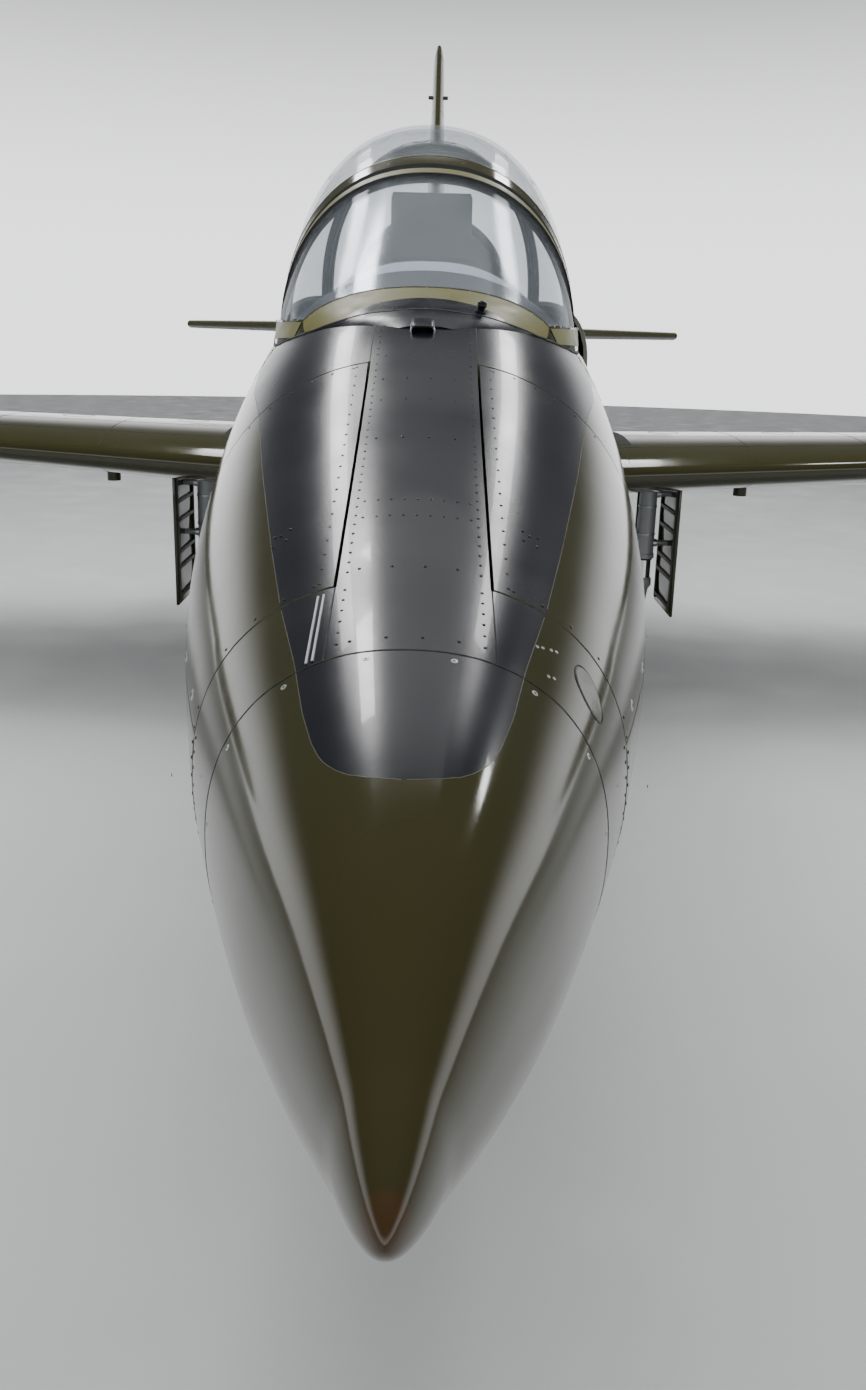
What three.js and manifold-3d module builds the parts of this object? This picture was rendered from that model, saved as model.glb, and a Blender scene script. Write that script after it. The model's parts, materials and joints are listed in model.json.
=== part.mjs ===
import * as THREE from 'three';
import { mergeVertices } from 'three/addons/utils/BufferGeometryUtils.js';
import Module from 'manifold-3d';

const wasm = await Module();
wasm.setup();

// Jet trainer on its wheels. Millimetres, Z up, nose towards -Y, port side +X, ground at Z = 0.
// Places along the body are stations: distances aft of the nose tip.

// Driving dimensions
const LENGTH = 12130;
const GAP = 0.3;
const SHAPE_POWER = 2.24;
const SILL = 2000;
const NOSE_JOINT = 755;
const BAY_FRONT = 960;
const BAY_REAR = 1880;
const COCKPIT_FRONT = 2450;
const DECK_END = 2600;
const COCKPIT_REAR = 6050;
const BODY_REAR = 10600;

// Body sections: station, half width, top, bottom
const BODY = [
  [30, 24, 1322, 1264],
  [120, 61, 1383, 1202],
  [300, 137, 1473, 1105],
  [500, 216, 1540, 1040],
  [755, 300, 1612, 996],
  [1056, 386, 1700, 958],
  [1600, 501, 1886, 912],
  [2100, 546, 2082, 900],
  [2450, 560, 2190, 895],
  [2900, 568, 2285, 890],
  [4400, 572, 2285, 900],
  [6050, 575, 2270, 940],
  [7200, 570, 2250, 1040],
  [8500, 510, 2210, 1200],
  [9600, 420, 2160, 1370],
  [10600, 335, 2120, 1470],
];
const NOSE_TIP_HEIGHT = 1294;

// Glasshouse sections: station, half width, height where the arch springs, top
const WINDSCREEN = [
  [2060, 150, 1985, 2072],
  [2120, 235, 1985, 2100],
  [2200, 305, 1985, 2130],
  [2300, 362, 1985, 2172],
  [2450, 415, 1985, 2262],
  [2700, 453, 1995, 2412],
  [2930, 465, 2030, 2548],
];
const FRONT_CANOPY = [
  [2942, 466, 2035, 2562],
  [3200, 472, 2150, 2700],
  [3600, 475, 2220, 2790],
  [4000, 475, 2230, 2822],
  [4380, 470, 2220, 2826],
];
const REAR_CANOPY = [
  [4500, 470, 2240, 2860],
  [4900, 475, 2290, 2945],
  [5400, 471, 2250, 2905],
  [6040, 460, 2150, 2715],
];
const SPINE = [
  [6050, 460, 2150, 2712],
  [7000, 400, 2100, 2590],
  [8500, 270, 2080, 2440],
  [9900, 130, 2060, 2400],
];
const ARCH_POWER = 2.2;
const FRAME_THICKNESS = 28;
const GLASS_THICKNESS = 12;

const station = (s) => s - LENGTH / 2;
const RAD = Math.PI / 180;
const SIDES = [['left', 1], ['right', -1]];

// Solids
const geometryOf = (solid) => {
  const mesh = solid.getMesh();
  const geometry = new THREE.BufferGeometry();
  geometry.setAttribute('position', new THREE.BufferAttribute(new Float32Array(mesh.vertProperties), 3));
  geometry.setIndex(new THREE.BufferAttribute(new Uint32Array(mesh.triVerts), 1));
  return geometry;
};

const solidOf = (source) => {
  const geometry = source.clone();
  geometry.deleteAttribute('normal');
  geometry.deleteAttribute('uv');
  const merged = mergeVertices(geometry, 1e-3);
  return new wasm.Manifold(new wasm.Mesh({
    numProp: 3,
    vertProperties: new Float32Array(merged.attributes.position.array),
    triVerts: new Uint32Array(merged.index.array),
  }));
};

const join = (first, ...others) => others.reduce((sum, other) => sum.add(other), first);
const cut = (first, ...others) => others.reduce((rest, other) => rest.subtract(other), first);

// Closed skin over rings of equal length, listed from front to back or bottom to top
const loft = (rings, frontTip, rearTip) => {
  const count = rings[0].length;
  const middle = (ring) => ring.reduce((sum, p) => sum.add(p), new THREE.Vector3()).divideScalar(count);
  const points = rings.flat();
  const front = points.length;
  points.push(frontTip ?? middle(rings[0]));
  points.push(rearTip ?? middle(rings[rings.length - 1]));
  const faces = [];
  for (let i = 0; i < count; i += 1) {
    const j = (i + 1) % count;
    const last = (rings.length - 1) * count;
    faces.push(front, j, i, front + 1, last + i, last + j);
    for (let k = 0; k < rings.length - 1; k += 1) {
      const a = k * count;
      const b = a + count;
      faces.push(a + i, a + j, b + j, a + i, b + j, b + i);
    }
  }
  const geometry = new THREE.BufferGeometry().setFromPoints(points);
  geometry.setIndex(faces);
  const solid = solidOf(geometry);
  if (solid.volume() > 0) return solid;
  geometry.setIndex(faces.reverse());
  return solidOf(geometry);
};

const block = (x0, x1, s0, s1, z0, z1) => solidOf(
  new THREE.BoxGeometry(x1 - x0, s1 - s0, z1 - z0)
    .translate((x0 + x1) / 2, station((s0 + s1) / 2), (z0 + z1) / 2),
);

// The same block on the port or starboard side
const sideBlock = (side, inner, outer, ...rest) => block(
  Math.min(side * inner, side * outer), Math.max(side * inner, side * outer), ...rest,
);

const at = (x, s, z) => new THREE.Vector3(x, station(s), z);

// Round bar from one point to another, with a radius for each end
const bar = (from, to, radius, endRadius = radius, sides = 16) => {
  const along = to.clone().sub(from);
  const geometry = new THREE.CylinderGeometry(endRadius, radius, along.length(), sides);
  geometry.applyQuaternion(new THREE.Quaternion().setFromUnitVectors(
    new THREE.Vector3(0, 1, 0),
    along.clone().normalize(),
  ));
  const centre = from.clone().add(to).divideScalar(2);
  return solidOf(geometry.translate(centre.x, centre.y, centre.z));
};

// Turned solid: profile points are [radius, distance along the axis], which is Y unless turned to X
const turned = (profile, sides, axis, centre) => {
  const geometry = new THREE.LatheGeometry(profile.map(([r, d]) => new THREE.Vector2(r, d)), sides);
  if (axis === 'x') geometry.rotateZ(-Math.PI / 2);
  return solidOf(geometry.translate(centre.x, centre.y, centre.z));
};

// Values between the rows of a table, on a smooth curve through them
const between = (table, column, s) => {
  const slope = (i) => {
    const a = table[Math.max(i - 1, 0)];
    const b = table[Math.min(i + 1, table.length - 1)];
    return (b[column] - a[column]) / (b[0] - a[0]);
  };
  let i = 0;
  while (i < table.length - 2 && s > table[i + 1][0]) i += 1;
  const [p, q] = [table[i], table[i + 1]];
  const span = q[0] - p[0];
  const t = (s - p[0]) / span;
  const h = t * t * (3 - 2 * t);
  return p[column] * (1 - h) + q[column] * h
    + slope(i) * span * t * (1 - t) ** 2 - slope(i + 1) * span * t * t * (1 - t);
};

const powered = (value, power) => Math.sign(value) * Math.abs(value) ** (2 / power);

const BODY_SIDES = 36;
const FRAMES = [
  30, 70, 120, 200, 300, 420, 560, 755, 960, 1056, 1200, 1400, 1600, 1880, 2100, 2300, 2450, 2700,
  2900, 3600, 4400, 5200, 6050, 6600, 7200, 7900, 8500, 9100, 9600, 10100, 10600,
];
const bodyFrame = (s, grow) => {
  const width = between(BODY, 1, s) + grow;
  const top = between(BODY, 2, s) + grow;
  const bottom = between(BODY, 3, s) - grow;
  return Array.from({ length: BODY_SIDES }, (_, i) => {
    const t = (i / BODY_SIDES) * 2 * Math.PI;
    const x = width * powered(Math.cos(t), SHAPE_POWER);
    const z = (top + bottom) / 2 + ((top - bottom) / 2) * powered(Math.sin(t), SHAPE_POWER);
    return at(x, s, z);
  });
};
// Ring of the skin at any station: the skin is straight between two frames
const bodyRing = (s, grow = 0) => {
  const next = Math.min(Math.max(FRAMES.findIndex((f) => f >= s), 1), FRAMES.length - 1);
  const [front, rear] = [FRAMES[next - 1], FRAMES[next]];
  const rearRing = bodyFrame(rear, grow);
  return bodyFrame(front, grow).map((p, i) => p.lerp(rearRing[i], (s - front) / (rear - front)));
};

const steps = (s0, s1, step) => {
  const count = Math.max(1, Math.round((s1 - s0) / step));
  return Array.from({ length: count + 1 }, (_, i) => s0 + ((s1 - s0) * i) / count);
};

const bodyBetween = (s0, s1, grow = 0) => loft(
  [s0, ...FRAMES.filter((f) => f > s0 + 1 && f < s1 - 1), s1].map((s) => bodyRing(s, grow)),
);

// Arch of the glasshouse, closed below by a straight foot
const ARCH_STEPS = 14;
const archRing = (table, s, inset, foot) => {
  const width = between(table, 1, s) - inset;
  const spring = between(table, 2, s);
  const rise = between(table, 3, s) - inset - spring;
  const ring = [at(width, s, foot)];
  for (let i = 0; i <= ARCH_STEPS; i += 1) {
    const t = (i / ARCH_STEPS) * Math.PI;
    const x = width * powered(Math.cos(t), ARCH_POWER);
    ring.push(at(x, s, spring + rise * powered(Math.sin(t), ARCH_POWER)));
  }
  ring.push(at(-width, s, foot));
  return ring;
};

const arch = (table, inset, foot, s0, s1, step = 200) => loft(
  steps(s0, s1, step).map((s) => archRing(table, s, inset, foot)),
);

// Wing section: leading edge station, chord, height and thickness share at each distance out
const WING = {
  rootX: 520, tipX: 4360, lead: 4980, sweep: Math.tan(6.4 * RAD), chord: 2800, taper: 1400 / 3840,
  fromX: 560, height: 1405, heightX: 1500, dihedral: Math.tan(2.5 * RAD), incidence: Math.tan(2 * RAD),
  thickness: 0.12, camber: 0.014, hinge: 0.74,
};
const wingChord = (x) => WING.chord - (x - WING.fromX) * WING.taper;
const wingLead = (x) => WING.lead + (x - WING.fromX) * WING.sweep;
const wingHeight = (x, part) => (
  WING.height + (x - WING.heightX) * WING.dihedral - part * wingChord(x) * WING.incidence
);
const foilHalf = (part, thickness) => 5 * thickness * (0.2969 * Math.sqrt(part) - 0.126 * part
  - 0.3516 * part ** 2 + 0.2843 * part ** 3 - 0.1015 * part ** 4);
const camberAt = (part) => 4 * WING.camber * part * (1 - part);

const FOIL_STEPS = 11;
const foilParts = (to = 1) => Array.from({ length: FOIL_STEPS + 1 }, (_, i) => (
  to * (1 - Math.cos((i / FOIL_STEPS) * Math.PI / 2))
));
const wingRing = (x, side, grow = 0, to = 1) => {
  const chord = wingChord(x);
  const place = (part, up) => {
    const half = chord * foilHalf(part, WING.thickness) + grow;
    const s = wingLead(x) + part * chord + (part === 0 ? -grow : 0) + (part === to ? grow : 0);
    return at(side * x, s, wingHeight(x, part) + chord * camberAt(part) + up * half);
  };
  const parts = foilParts(to);
  const upper = parts.map((part) => place(part, 1));
  const lower = parts.slice(1).reverse().map((part) => place(part, -1));
  return [...upper, ...lower];
};
const hingeAt = (x, side) => {
  const chord = wingChord(x);
  const z = wingHeight(x, WING.hinge) + chord * camberAt(WING.hinge);
  return at(side * x, wingLead(x) + WING.hinge * chord, z);
};
const hingeHalf = (x) => wingChord(x) * foilHalf(WING.hinge, WING.thickness);

// Moving surface with a round nose on its hinge line
const NOSE_STEPS = 8;
const TAIL_EDGE = 3;
const controlRing = (pivot, radius, tail, up) => {
  const ring = [];
  const aim = tail.clone().sub(pivot).normalize();
  for (let i = 0; i <= NOSE_STEPS; i += 1) {
    const t = (90 + (180 * i) / NOSE_STEPS) * RAD;
    const ahead = pivot.clone().addScaledVector(aim, radius * Math.cos(t));
    ring.push(ahead.addScaledVector(up, radius * Math.sin(t)));
  }
  ring.push(tail.clone().addScaledVector(up, -TAIL_EDGE), tail.clone().addScaledVector(up, TAIL_EDGE));
  return ring;
};

// Hinge pin that stands out of a moving surface's end and stops just short of the fixed wall
const PIN_RADIUS = 8;
const hingePin = (inside, wall) => {
  const along = wall.clone().sub(inside).normalize();
  const facing = Math.max(Math.abs(along.x), Math.abs(along.z));
  const slant = PIN_RADIUS * Math.sqrt(1 / facing ** 2 - 1);
  return bar(inside, wall.clone().addScaledVector(along, -GAP - slant), PIN_RADIUS);
};

// Materials
const paint = (name, colour, roughness = 0.35, metalness = 0) => new THREE.MeshStandardMaterial({
  name, color: colour, roughness, metalness,
});
const OLIVE = paint('olive_gloss', 0x4a4526, 0.15);
const GLASS = paint('clear_glass', 0xbfd0d4, 0.05);
const COCKPIT = paint('cockpit_grey', 0x6f7d84, 0.6);
const DARK = paint('dark_trim', 0x222527, 0.6);
const RUBBER = paint('tyre_rubber', 0x1a1a1b, 0.85);
const HUB = paint('wheel_hub', 0x7f8a72, 0.45);
const LEG = paint('gear_metal', 0x9ba3a8, 0.35, 0.6);
const STEEL = paint('hot_steel', 0x6d6157, 0.4, 0.9);
const FABRIC = paint('seat_fabric', 0x55583f, 0.9);

const aircraft = new THREE.Group();
const add = (name, solid, material) => {
  const mesh = new THREE.Mesh(geometryOf(solid), material);
  mesh.name = name;
  aircraft.add(mesh);
};

// Nose cone, from the tip to the joint ring
const noseCone = loft(
  [30, 70, 120, 200, 300, 420, 560, NOSE_JOINT - GAP].map((s) => bodyRing(s)),
  at(0, 0, NOSE_TIP_HEIGHT),
);
add('nose_cone', noseCone, OLIVE);

// Nose section with the equipment bay and the nose wheel well
const BAY = {
  strip: 122, floor: 1400, wall: 14 + GAP, lid: 14, clear: 6, web: 46, ledge: 30, rackGap: 60, rackTop: 1760,
  frames: [NOSE_JOINT, 2100],
};
const WELL = { half: 165, front: 1960, rear: 2390, roof: 1290 };
const bayWindow = (side, grow = 0) => sideBlock(
  side, BAY.strip - grow, 700, BAY_FRONT - grow, BAY_REAR + grow, BAY.floor - grow, 2500,
);
const bayShell = (side, outset, depth, grow) => bodyBetween(...BAY.frames, outset)
  .subtract(bodyBetween(...BAY.frames, -depth)).intersect(bayWindow(side, grow));
// Room behind the door, and its reach inwards under the fixed centre strip
const bayHollow = (side) => {
  const room = [BAY_FRONT + BAY.ledge, BAY_REAR - BAY.ledge, BAY.floor + BAY.ledge, 2400];
  const reach = sideBlock(side, BAY.web, BAY.strip + 20, ...room);
  const under = bodyBetween(...BAY.frames, -BAY.wall - 4).intersect(reach);
  return join(under, sideBlock(side, BAY.strip + 2, 700, ...room));
};
let noseSection = bodyBetween(NOSE_JOINT, COCKPIT_FRONT - GAP);
SIDES.forEach(([, side]) => {
  noseSection = cut(noseSection, bayShell(side, 60, BAY.wall, 0), bayHollow(side));
});
noseSection = cut(noseSection, block(-WELL.half, WELL.half, WELL.front, WELL.rear, 600, WELL.roof));
add('nose_section', noseSection, OLIVE);

SIDES.forEach(([name, side]) => {
  add(`bay_door_${name}`, bayShell(side, 0, BAY.lid, -BAY.clear), OLIVE);
});
SIDES.forEach(([name, side]) => {
  const rack = bodyBetween(...BAY.frames, -BAY.rackGap).intersect(sideBlock(
    side, BAY.web + GAP, 700, BAY_FRONT + BAY.rackGap, BAY_REAR - BAY.rackGap,
    BAY.floor + BAY.ledge + GAP, BAY.rackTop,
  ));
  add(`equipment_${name}`, rack, DARK);
});

// Cockpit section, open above the sill
const TUB = { front: 2640, rear: 5960, half: 462, floor: 1130, top: 2620 };
const tubRing = (s, grow = 0) => {
  const ring = [];
  for (let i = 0; i < BODY_SIDES; i += 1) {
    const t = (i / BODY_SIDES) * 2 * Math.PI;
    const x = (TUB.half + grow) * powered(Math.cos(t), SHAPE_POWER);
    const z = (TUB.top + TUB.floor) / 2 + ((TUB.top - TUB.floor) / 2 + grow) * powered(Math.sin(t), 3);
    ring.push(at(x, s, z));
  }
  return ring;
};
const tub = loft([tubRing(TUB.front), tubRing(TUB.rear)]);
const cockpitSection = cut(
  bodyBetween(COCKPIT_FRONT, COCKPIT_REAR - GAP),
  block(-700, 700, DECK_END, COCKPIT_REAR + 10, SILL, 2600),
  tub,
);

// Wings, with the pockets that hold their roots
const wingPocket = (side) => loft([wingRing(WING.rootX - GAP, side, GAP), wingRing(800, side, GAP)]);
const pockets = SIDES.map(([, side]) => wingPocket(side));
add('cockpit_section', cut(cockpitSection, ...pockets), OLIVE);

const FLAP = { from: 650, to: 2360 };
const AILERON = { from: 2420, to: 4080 };
const RUNNING = 12;
const END_GAP = 17;
const LIP = { top: 12, flap: 78 };
const UP = new THREE.Vector3(0, 0, 1);
const controlCut = (span, side, lower) => {
  const [a, b] = [hingeAt(span.from - END_GAP, side), hingeAt(span.to + END_GAP, side)];
  const ringAt = (pivot, x) => {
    const radius = hingeHalf(x) + RUNNING;
    const ring = [];
    for (let i = 0; i <= NOSE_STEPS; i += 1) {
      const t = (90 + (180 * i) / NOSE_STEPS) * RAD;
      ring.push(pivot.clone().add(new THREE.Vector3(0, radius * Math.cos(t), radius * Math.sin(t))));
    }
    ring.push(pivot.clone().add(new THREE.Vector3(0, 1100, -400)));
    ring.push(pivot.clone().add(new THREE.Vector3(0, 1100, 400)));
    return ring;
  };
  const cove = loft([ringAt(a, span.from), ringAt(b, span.to)]);
  const openBelow = (pivot) => [[-lower, -20], [-lower, -300], [900, -300], [900, -20]]
    .map(([y, z]) => pivot.clone().add(new THREE.Vector3(0, y, z)));
  const openAbove = (pivot) => [[-LIP.top, 20], [900, 20], [900, 300], [-LIP.top, 300]]
    .map(([y, z]) => pivot.clone().add(new THREE.Vector3(0, y, z)));
  return join(cove, loft([openBelow(a), openBelow(b)]), loft([openAbove(a), openAbove(b)]));
};
const controlSurface = (span, side) => {
  const ringAt = (x) => {
    const chord = wingChord(x);
    const tail = at(side * x, wingLead(x) + chord, wingHeight(x, 1));
    return controlRing(hingeAt(x, side), hingeHalf(x), tail, UP);
  };
  return join(
    loft([ringAt(span.from), ringAt(span.to)]),
    hingePin(hingeAt(span.from + 40, side), hingeAt(span.from - END_GAP, side)),
    hingePin(hingeAt(span.to - 40, side), hingeAt(span.to + END_GAP, side)),
  );
};
const GEAR_WELL = { inner: 760, outer: 1500, front: 6230, rear: 6900, roof: 1330 };
const JACK_PAD = { x: 1900, s: 6050, radius: 40, foot: 1175 };
SIDES.forEach(([name, side]) => {
  const padTop = at(side * JACK_PAD.x, JACK_PAD.s, JACK_PAD.foot + 160);
  const panel = join(
    loft([WING.rootX, 1000, 2400, WING.tipX].map((x) => wingRing(x, side))),
    bar(at(side * JACK_PAD.x, JACK_PAD.s, JACK_PAD.foot), padTop, JACK_PAD.radius),
  );
  const well = sideBlock(
    side, GEAR_WELL.inner, GEAR_WELL.outer, GEAR_WELL.front, GEAR_WELL.rear, 900, GEAR_WELL.roof,
  );
  const coves = [controlCut(FLAP, side, LIP.flap), controlCut(AILERON, side, LIP.top)];
  add(`wing_${name}`, cut(panel, ...coves, well), OLIVE);
  add(`flap_${name}`, controlSurface(FLAP, side), OLIVE);
  add(`aileron_${name}`, controlSurface(AILERON, side), OLIVE);
});

// Tip tanks
const TANK = { x: 4520, front: 4360, length: 3350 };
const tankProfile = [
  [0, 0], [60, 40], [110, 150], [160, 400], [195, 750], [210, 1150], [210, 1800], [185, 2350],
  [130, 2850], [60, 3220], [0, TANK.length],
];
SIDES.forEach(([name, side]) => {
  const z = wingHeight(WING.tipX, 0.4);
  const tank = turned(tankProfile, 20, 'y', at(side * TANK.x, TANK.front, z));
  add(`tip_tank_${name}`, cut(tank, sideBlock(side, 4000, WING.tipX + GAP, 4000, 8000, 1000, 2000)), OLIVE);
});

// Rear fuselage with spine, engine tunnel and air brake recesses
const JET = { z: 1790, tunnel: 255, engine: 380, engineFront: 6900, engineRear: 8800 };
const alongBody = (s0, s1, radius, sides = 28) => (
  bar(at(0, s0, JET.z), at(0, s1, JET.z), radius, radius, sides)
);
const INTAKE = { plane: 600, reach: 330, half: 350, z: 1925, lip: 6070, rear: 8350, wall: 22, duct: 830 };
const intakeRing = (s, side, inset, plane) => {
  const fade = Math.max(0, (s - 6900) / (INTAKE.rear - 6900));
  const reach = INTAKE.reach * (1 - 0.92 * fade ** 1.5) - inset;
  const half = INTAKE.half * (1 - 0.35 * fade) - inset;
  const ring = [at(side * plane, s, INTAKE.z - half)];
  for (let i = 0; i <= 12; i += 1) {
    const t = (-90 + 15 * i) * RAD;
    ring.push(at(
      side * (INTAKE.plane + 40 + (reach - 40) * powered(Math.cos(t), 2.3)),
      s,
      INTAKE.z + half * powered(Math.sin(t), 2.3),
    ));
  }
  ring.push(at(side * plane, s, INTAKE.z + half));
  return ring;
};
const BRAKE = { inner: 25, outer: 370, front: 6300, rear: 7120, plate: 20, clear: 7, frames: [6050, 7200] };
const brakeShell = (side, outset, depth, grow) => bodyBetween(...BRAKE.frames, outset)
  .subtract(bodyBetween(...BRAKE.frames, -depth))
  .intersect(sideBlock(
    side, BRAKE.inner - grow, BRAKE.outer + grow, BRAKE.front - grow, BRAKE.rear + grow, 700, 1300,
  ));
const spine = arch(SPINE, 0, 1900, COCKPIT_REAR, 9900, 700);
const shoulders = SIDES.map(([, side]) => loft(
  steps(6350, 8300, 500).map((s) => intakeRing(s, side, 30, 400).map((p) => p.clone()
    .setX(side * Math.min(side * p.x, INTAKE.plane - GAP)))),
));
let rearBody = join(bodyBetween(COCKPIT_REAR, BODY_REAR), spine, ...shoulders);
rearBody = cut(
  rearBody,
  alongBody(JET.engineFront, JET.engineRear, JET.engine),
  alongBody(JET.engineRear - 10, BODY_REAR + 10, JET.tunnel),
  ...pockets,
  ...SIDES.map(([, side]) => brakeShell(side, 40, BRAKE.plate + GAP, BRAKE.clear)),
);
SIDES.forEach(([name, side]) => {
  add(`air_brake_${name}`, brakeShell(side, 0, BRAKE.plate, 0), OLIVE);
});
add('engine', alongBody(JET.engineFront + GAP, JET.engineRear - 10 - GAP, JET.engine - GAP), STEEL);

const pipeFoot = at(0, JET.engineRear + 10, JET.z);
const pipe = JET.tunnel - GAP;
const tailpipe = cut(
  turned([[0, 0], [pipe, 0], [pipe, 1790], [240, 2120], [0, 2120]], 28, 'y', pipeFoot),
  turned([[0, 200], [235, 200], [235, 1790], [226, 2200], [0, 2200]], 28, 'y', pipeFoot),
);
add('tailpipe', tailpipe, STEEL);

SIDES.forEach(([name, side]) => {
  const outer = loft(steps(INTAKE.lip, INTAKE.rear, 400).map((s) => intakeRing(s, side, 0, INTAKE.plane)));
  const duct = loft([INTAKE.lip - 50, INTAKE.lip + INTAKE.duct].map((s) => intakeRing(
    s, side, INTAKE.wall, INTAKE.plane + 20,
  )));
  add(`intake_${name}`, cut(outer, duct), OLIVE);
});

// Tail
const FIN = {
  // Height, leading edge, hinge line, trailing edge, half thickness
  rows: [[2060, 9350, 11180, 12000, 112], [2480, 9590, 11250, LENGTH, 105], [4640, 10880, 11480, 11960, 48],
    [4745, 11000, 11470, 11900, 30]],
};
const finRing = ([z, lead, hinge, , half]) => {
  const ring = [];
  const shape = [[0, 0], [0.04, 0.36], [0.15, 0.68], [0.4, 1], [0.75, 0.94], [1, 0.74]];
  shape.forEach(([u, v]) => ring.push(at(half * v, lead + (hinge - lead) * u, z)));
  [...shape].reverse().slice(0, -1).forEach(([u, v]) => (
    ring.push(at(-half * v, lead + (hinge - lead) * u, z))
  ));
  return ring;
};
const HTAIL = {
  z: 2140, span: 2360, lead: 10020, chord: 1420, tip: 760, sweep: 0.179, hinge: 0.64, thick: 0.1,
};
const tailRing = (x, side, to, grow = 0) => {
  const share = x / HTAIL.span;
  const chord = HTAIL.chord + (HTAIL.tip - HTAIL.chord) * share;
  const lead = HTAIL.lead + x * HTAIL.sweep;
  const upper = [];
  const lower = [];
  for (let i = 0; i <= 9; i += 1) {
    const part = to * (1 - Math.cos((i / 9) * Math.PI / 2));
    const half = chord * foilHalf(part, HTAIL.thick) + grow;
    const s = lead + part * chord + (i === 0 ? -grow : 0) + (i === 9 ? grow : 0);
    upper.push(at(side * x, s, HTAIL.z + half));
    if (i > 0 || half > 1) lower.unshift(at(side * x, s, HTAIL.z - half));
  }
  return [...upper, ...lower];
};
const tailChord = (x) => HTAIL.chord + (HTAIL.tip - HTAIL.chord) * (x / HTAIL.span);
const tailHinge = (x, side) => (
  at(side * x, HTAIL.lead + x * HTAIL.sweep + HTAIL.hinge * tailChord(x), HTAIL.z)
);
const tailHalf = (x) => tailChord(x) * foilHalf(HTAIL.hinge, HTAIL.thick);
const tailEnd = HTAIL.hinge - 0.055;
const acrossTail = (grow) => loft([[HTAIL.span, -1], [0, 1], [HTAIL.span, 1]].map(
  ([x, side]) => tailRing(x, side, tailEnd, grow),
));
const ELEVATOR = { from: 190, to: 2300 };
const tailTip = (side) => loft([ELEVATOR.to + END_GAP, HTAIL.span].map((x) => tailRing(x, side, 1)));
add('tailplane', join(acrossTail(0), tailTip(1), tailTip(-1)), OLIVE);
const finCap = FIN.rows.slice(-2).map(([z, lead, , tail, half]) => finRing([z, lead, tail, tail, half]));
const fin = join(loft(FIN.rows.map(finRing)), loft(finCap));
const finFoot = bodyBetween(8500, BODY_REAR, GAP);
add('rear_fuselage', cut(rearBody, acrossTail(GAP)), OLIVE);
const spineGrown = arch(SPINE, -GAP, 1900, COCKPIT_REAR, 9901, 700);
const elevatorRoom = block(-300, 300, 10845, 12300, 1900, 2300);
const insideBody = block(-300, 300, 9000, BODY_REAR, 1000, 2110);
const belowTail = block(-300, 300, HTAIL.lead + 60, 12300, 1900, HTAIL.z);
add('fin', cut(fin, finFoot, spineGrown, acrossTail(GAP), elevatorRoom, insideBody, belowTail), OLIVE);

SIDES.forEach(([name, side]) => {
  const ringAt = (x) => controlRing(
    tailHinge(x, side), tailHalf(x), at(side * x, HTAIL.lead + x * HTAIL.sweep + tailChord(x), HTAIL.z), UP,
  );
  add(`elevator_${name}`, join(
    loft([ringAt(ELEVATOR.from), ringAt(ELEVATOR.to)]),
    hingePin(tailHinge(ELEVATOR.to - 40, side), tailHinge(ELEVATOR.to + END_GAP, side)),
  ), OLIVE);
});

const RUDDER = { foot: 2400, top: 4630, clear: 14 };
const finAt = (z, column) => between(FIN.rows, column, z);
const rudderHalf = (z) => finAt(z, 4) * 0.7;
const rudderFront = (z) => at(0, finAt(z, 2) + rudderHalf(z) + RUDDER.clear, z);
const rudderRing = (z) => controlRing(
  rudderFront(z), rudderHalf(z), at(0, finAt(z, 3), z), new THREE.Vector3(1, 0, 0),
);
const rudderPivot = (z) => (
  rudderFront(RUDDER.foot).lerp(rudderFront(RUDDER.top), (z - RUDDER.foot) / (RUDDER.top - RUDDER.foot))
);
add('rudder', join(
  loft([rudderRing(RUDDER.foot), rudderRing(RUDDER.top)]),
  hingePin(rudderPivot(RUDDER.top - 40), rudderPivot(FIN.rows[2][0])),
), OLIVE);

// Windscreen and canopies
const glasshouse = (table, window, clearBody) => {
  const s0 = table[0][0];
  const s1 = table[table.length - 1][0];
  const foot = clearBody ? 1900 : SILL + GAP;
  const shell = cut(arch(table, 0, foot, s0, s1), arch(table, FRAME_THICKNESS, foot - 60, s0 - 90, s1 + 90));
  const opening = (grow) => block(
    -600, 600, window.front - grow, window.rear + grow, window.foot - grow, 3200,
  );
  const pane = cut(
    arch(table, 8, foot, s0, s1),
    arch(table, 8 + GLASS_THICKNESS, foot - 60, s0 - 90, s1 + 90),
  );
  const parts = [cut(shell, opening(0)), pane.intersect(opening(-GAP))];
  if (!clearBody) return parts;
  const keep = [
    cut(bodyBetween(1880, 2700, GAP), block(-700, 700, DECK_END + GAP, 2800, 1000, 2600)),
    block(-700, 700, DECK_END - 50, 3200, 1500, SILL + GAP),
  ];
  return parts.map((part) => cut(part, ...keep));
};
const [screenFrame, screenGlass] = glasshouse(WINDSCREEN, {
  front: 2300, rear: 2895, foot: 2080,
}, true);
add('windscreen_frame', screenFrame, OLIVE);
add('windscreen_glass', screenGlass, GLASS);
const MID_ARCH = [[4392, 470, 2222, 2828], [4488, 470, 2238, 2856]];
add('mid_arch', cut(
  arch(MID_ARCH, 0, SILL + GAP, 4392, 4488),
  arch(MID_ARCH, 36, SILL - 60, 4380, 4500),
), OLIVE);
[['front_canopy', FRONT_CANOPY], ['rear_canopy', REAR_CANOPY]].forEach(([name, table]) => {
  const window = { front: table[0][0] + 55, rear: table[table.length - 1][0] - 60, foot: SILL + 95 };
  const [frame, glass] = glasshouse(table, window, false);
  add(`${name}_frame`, frame, OLIVE);
  add(`${name}_glass`, glass, GLASS);
});

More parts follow.
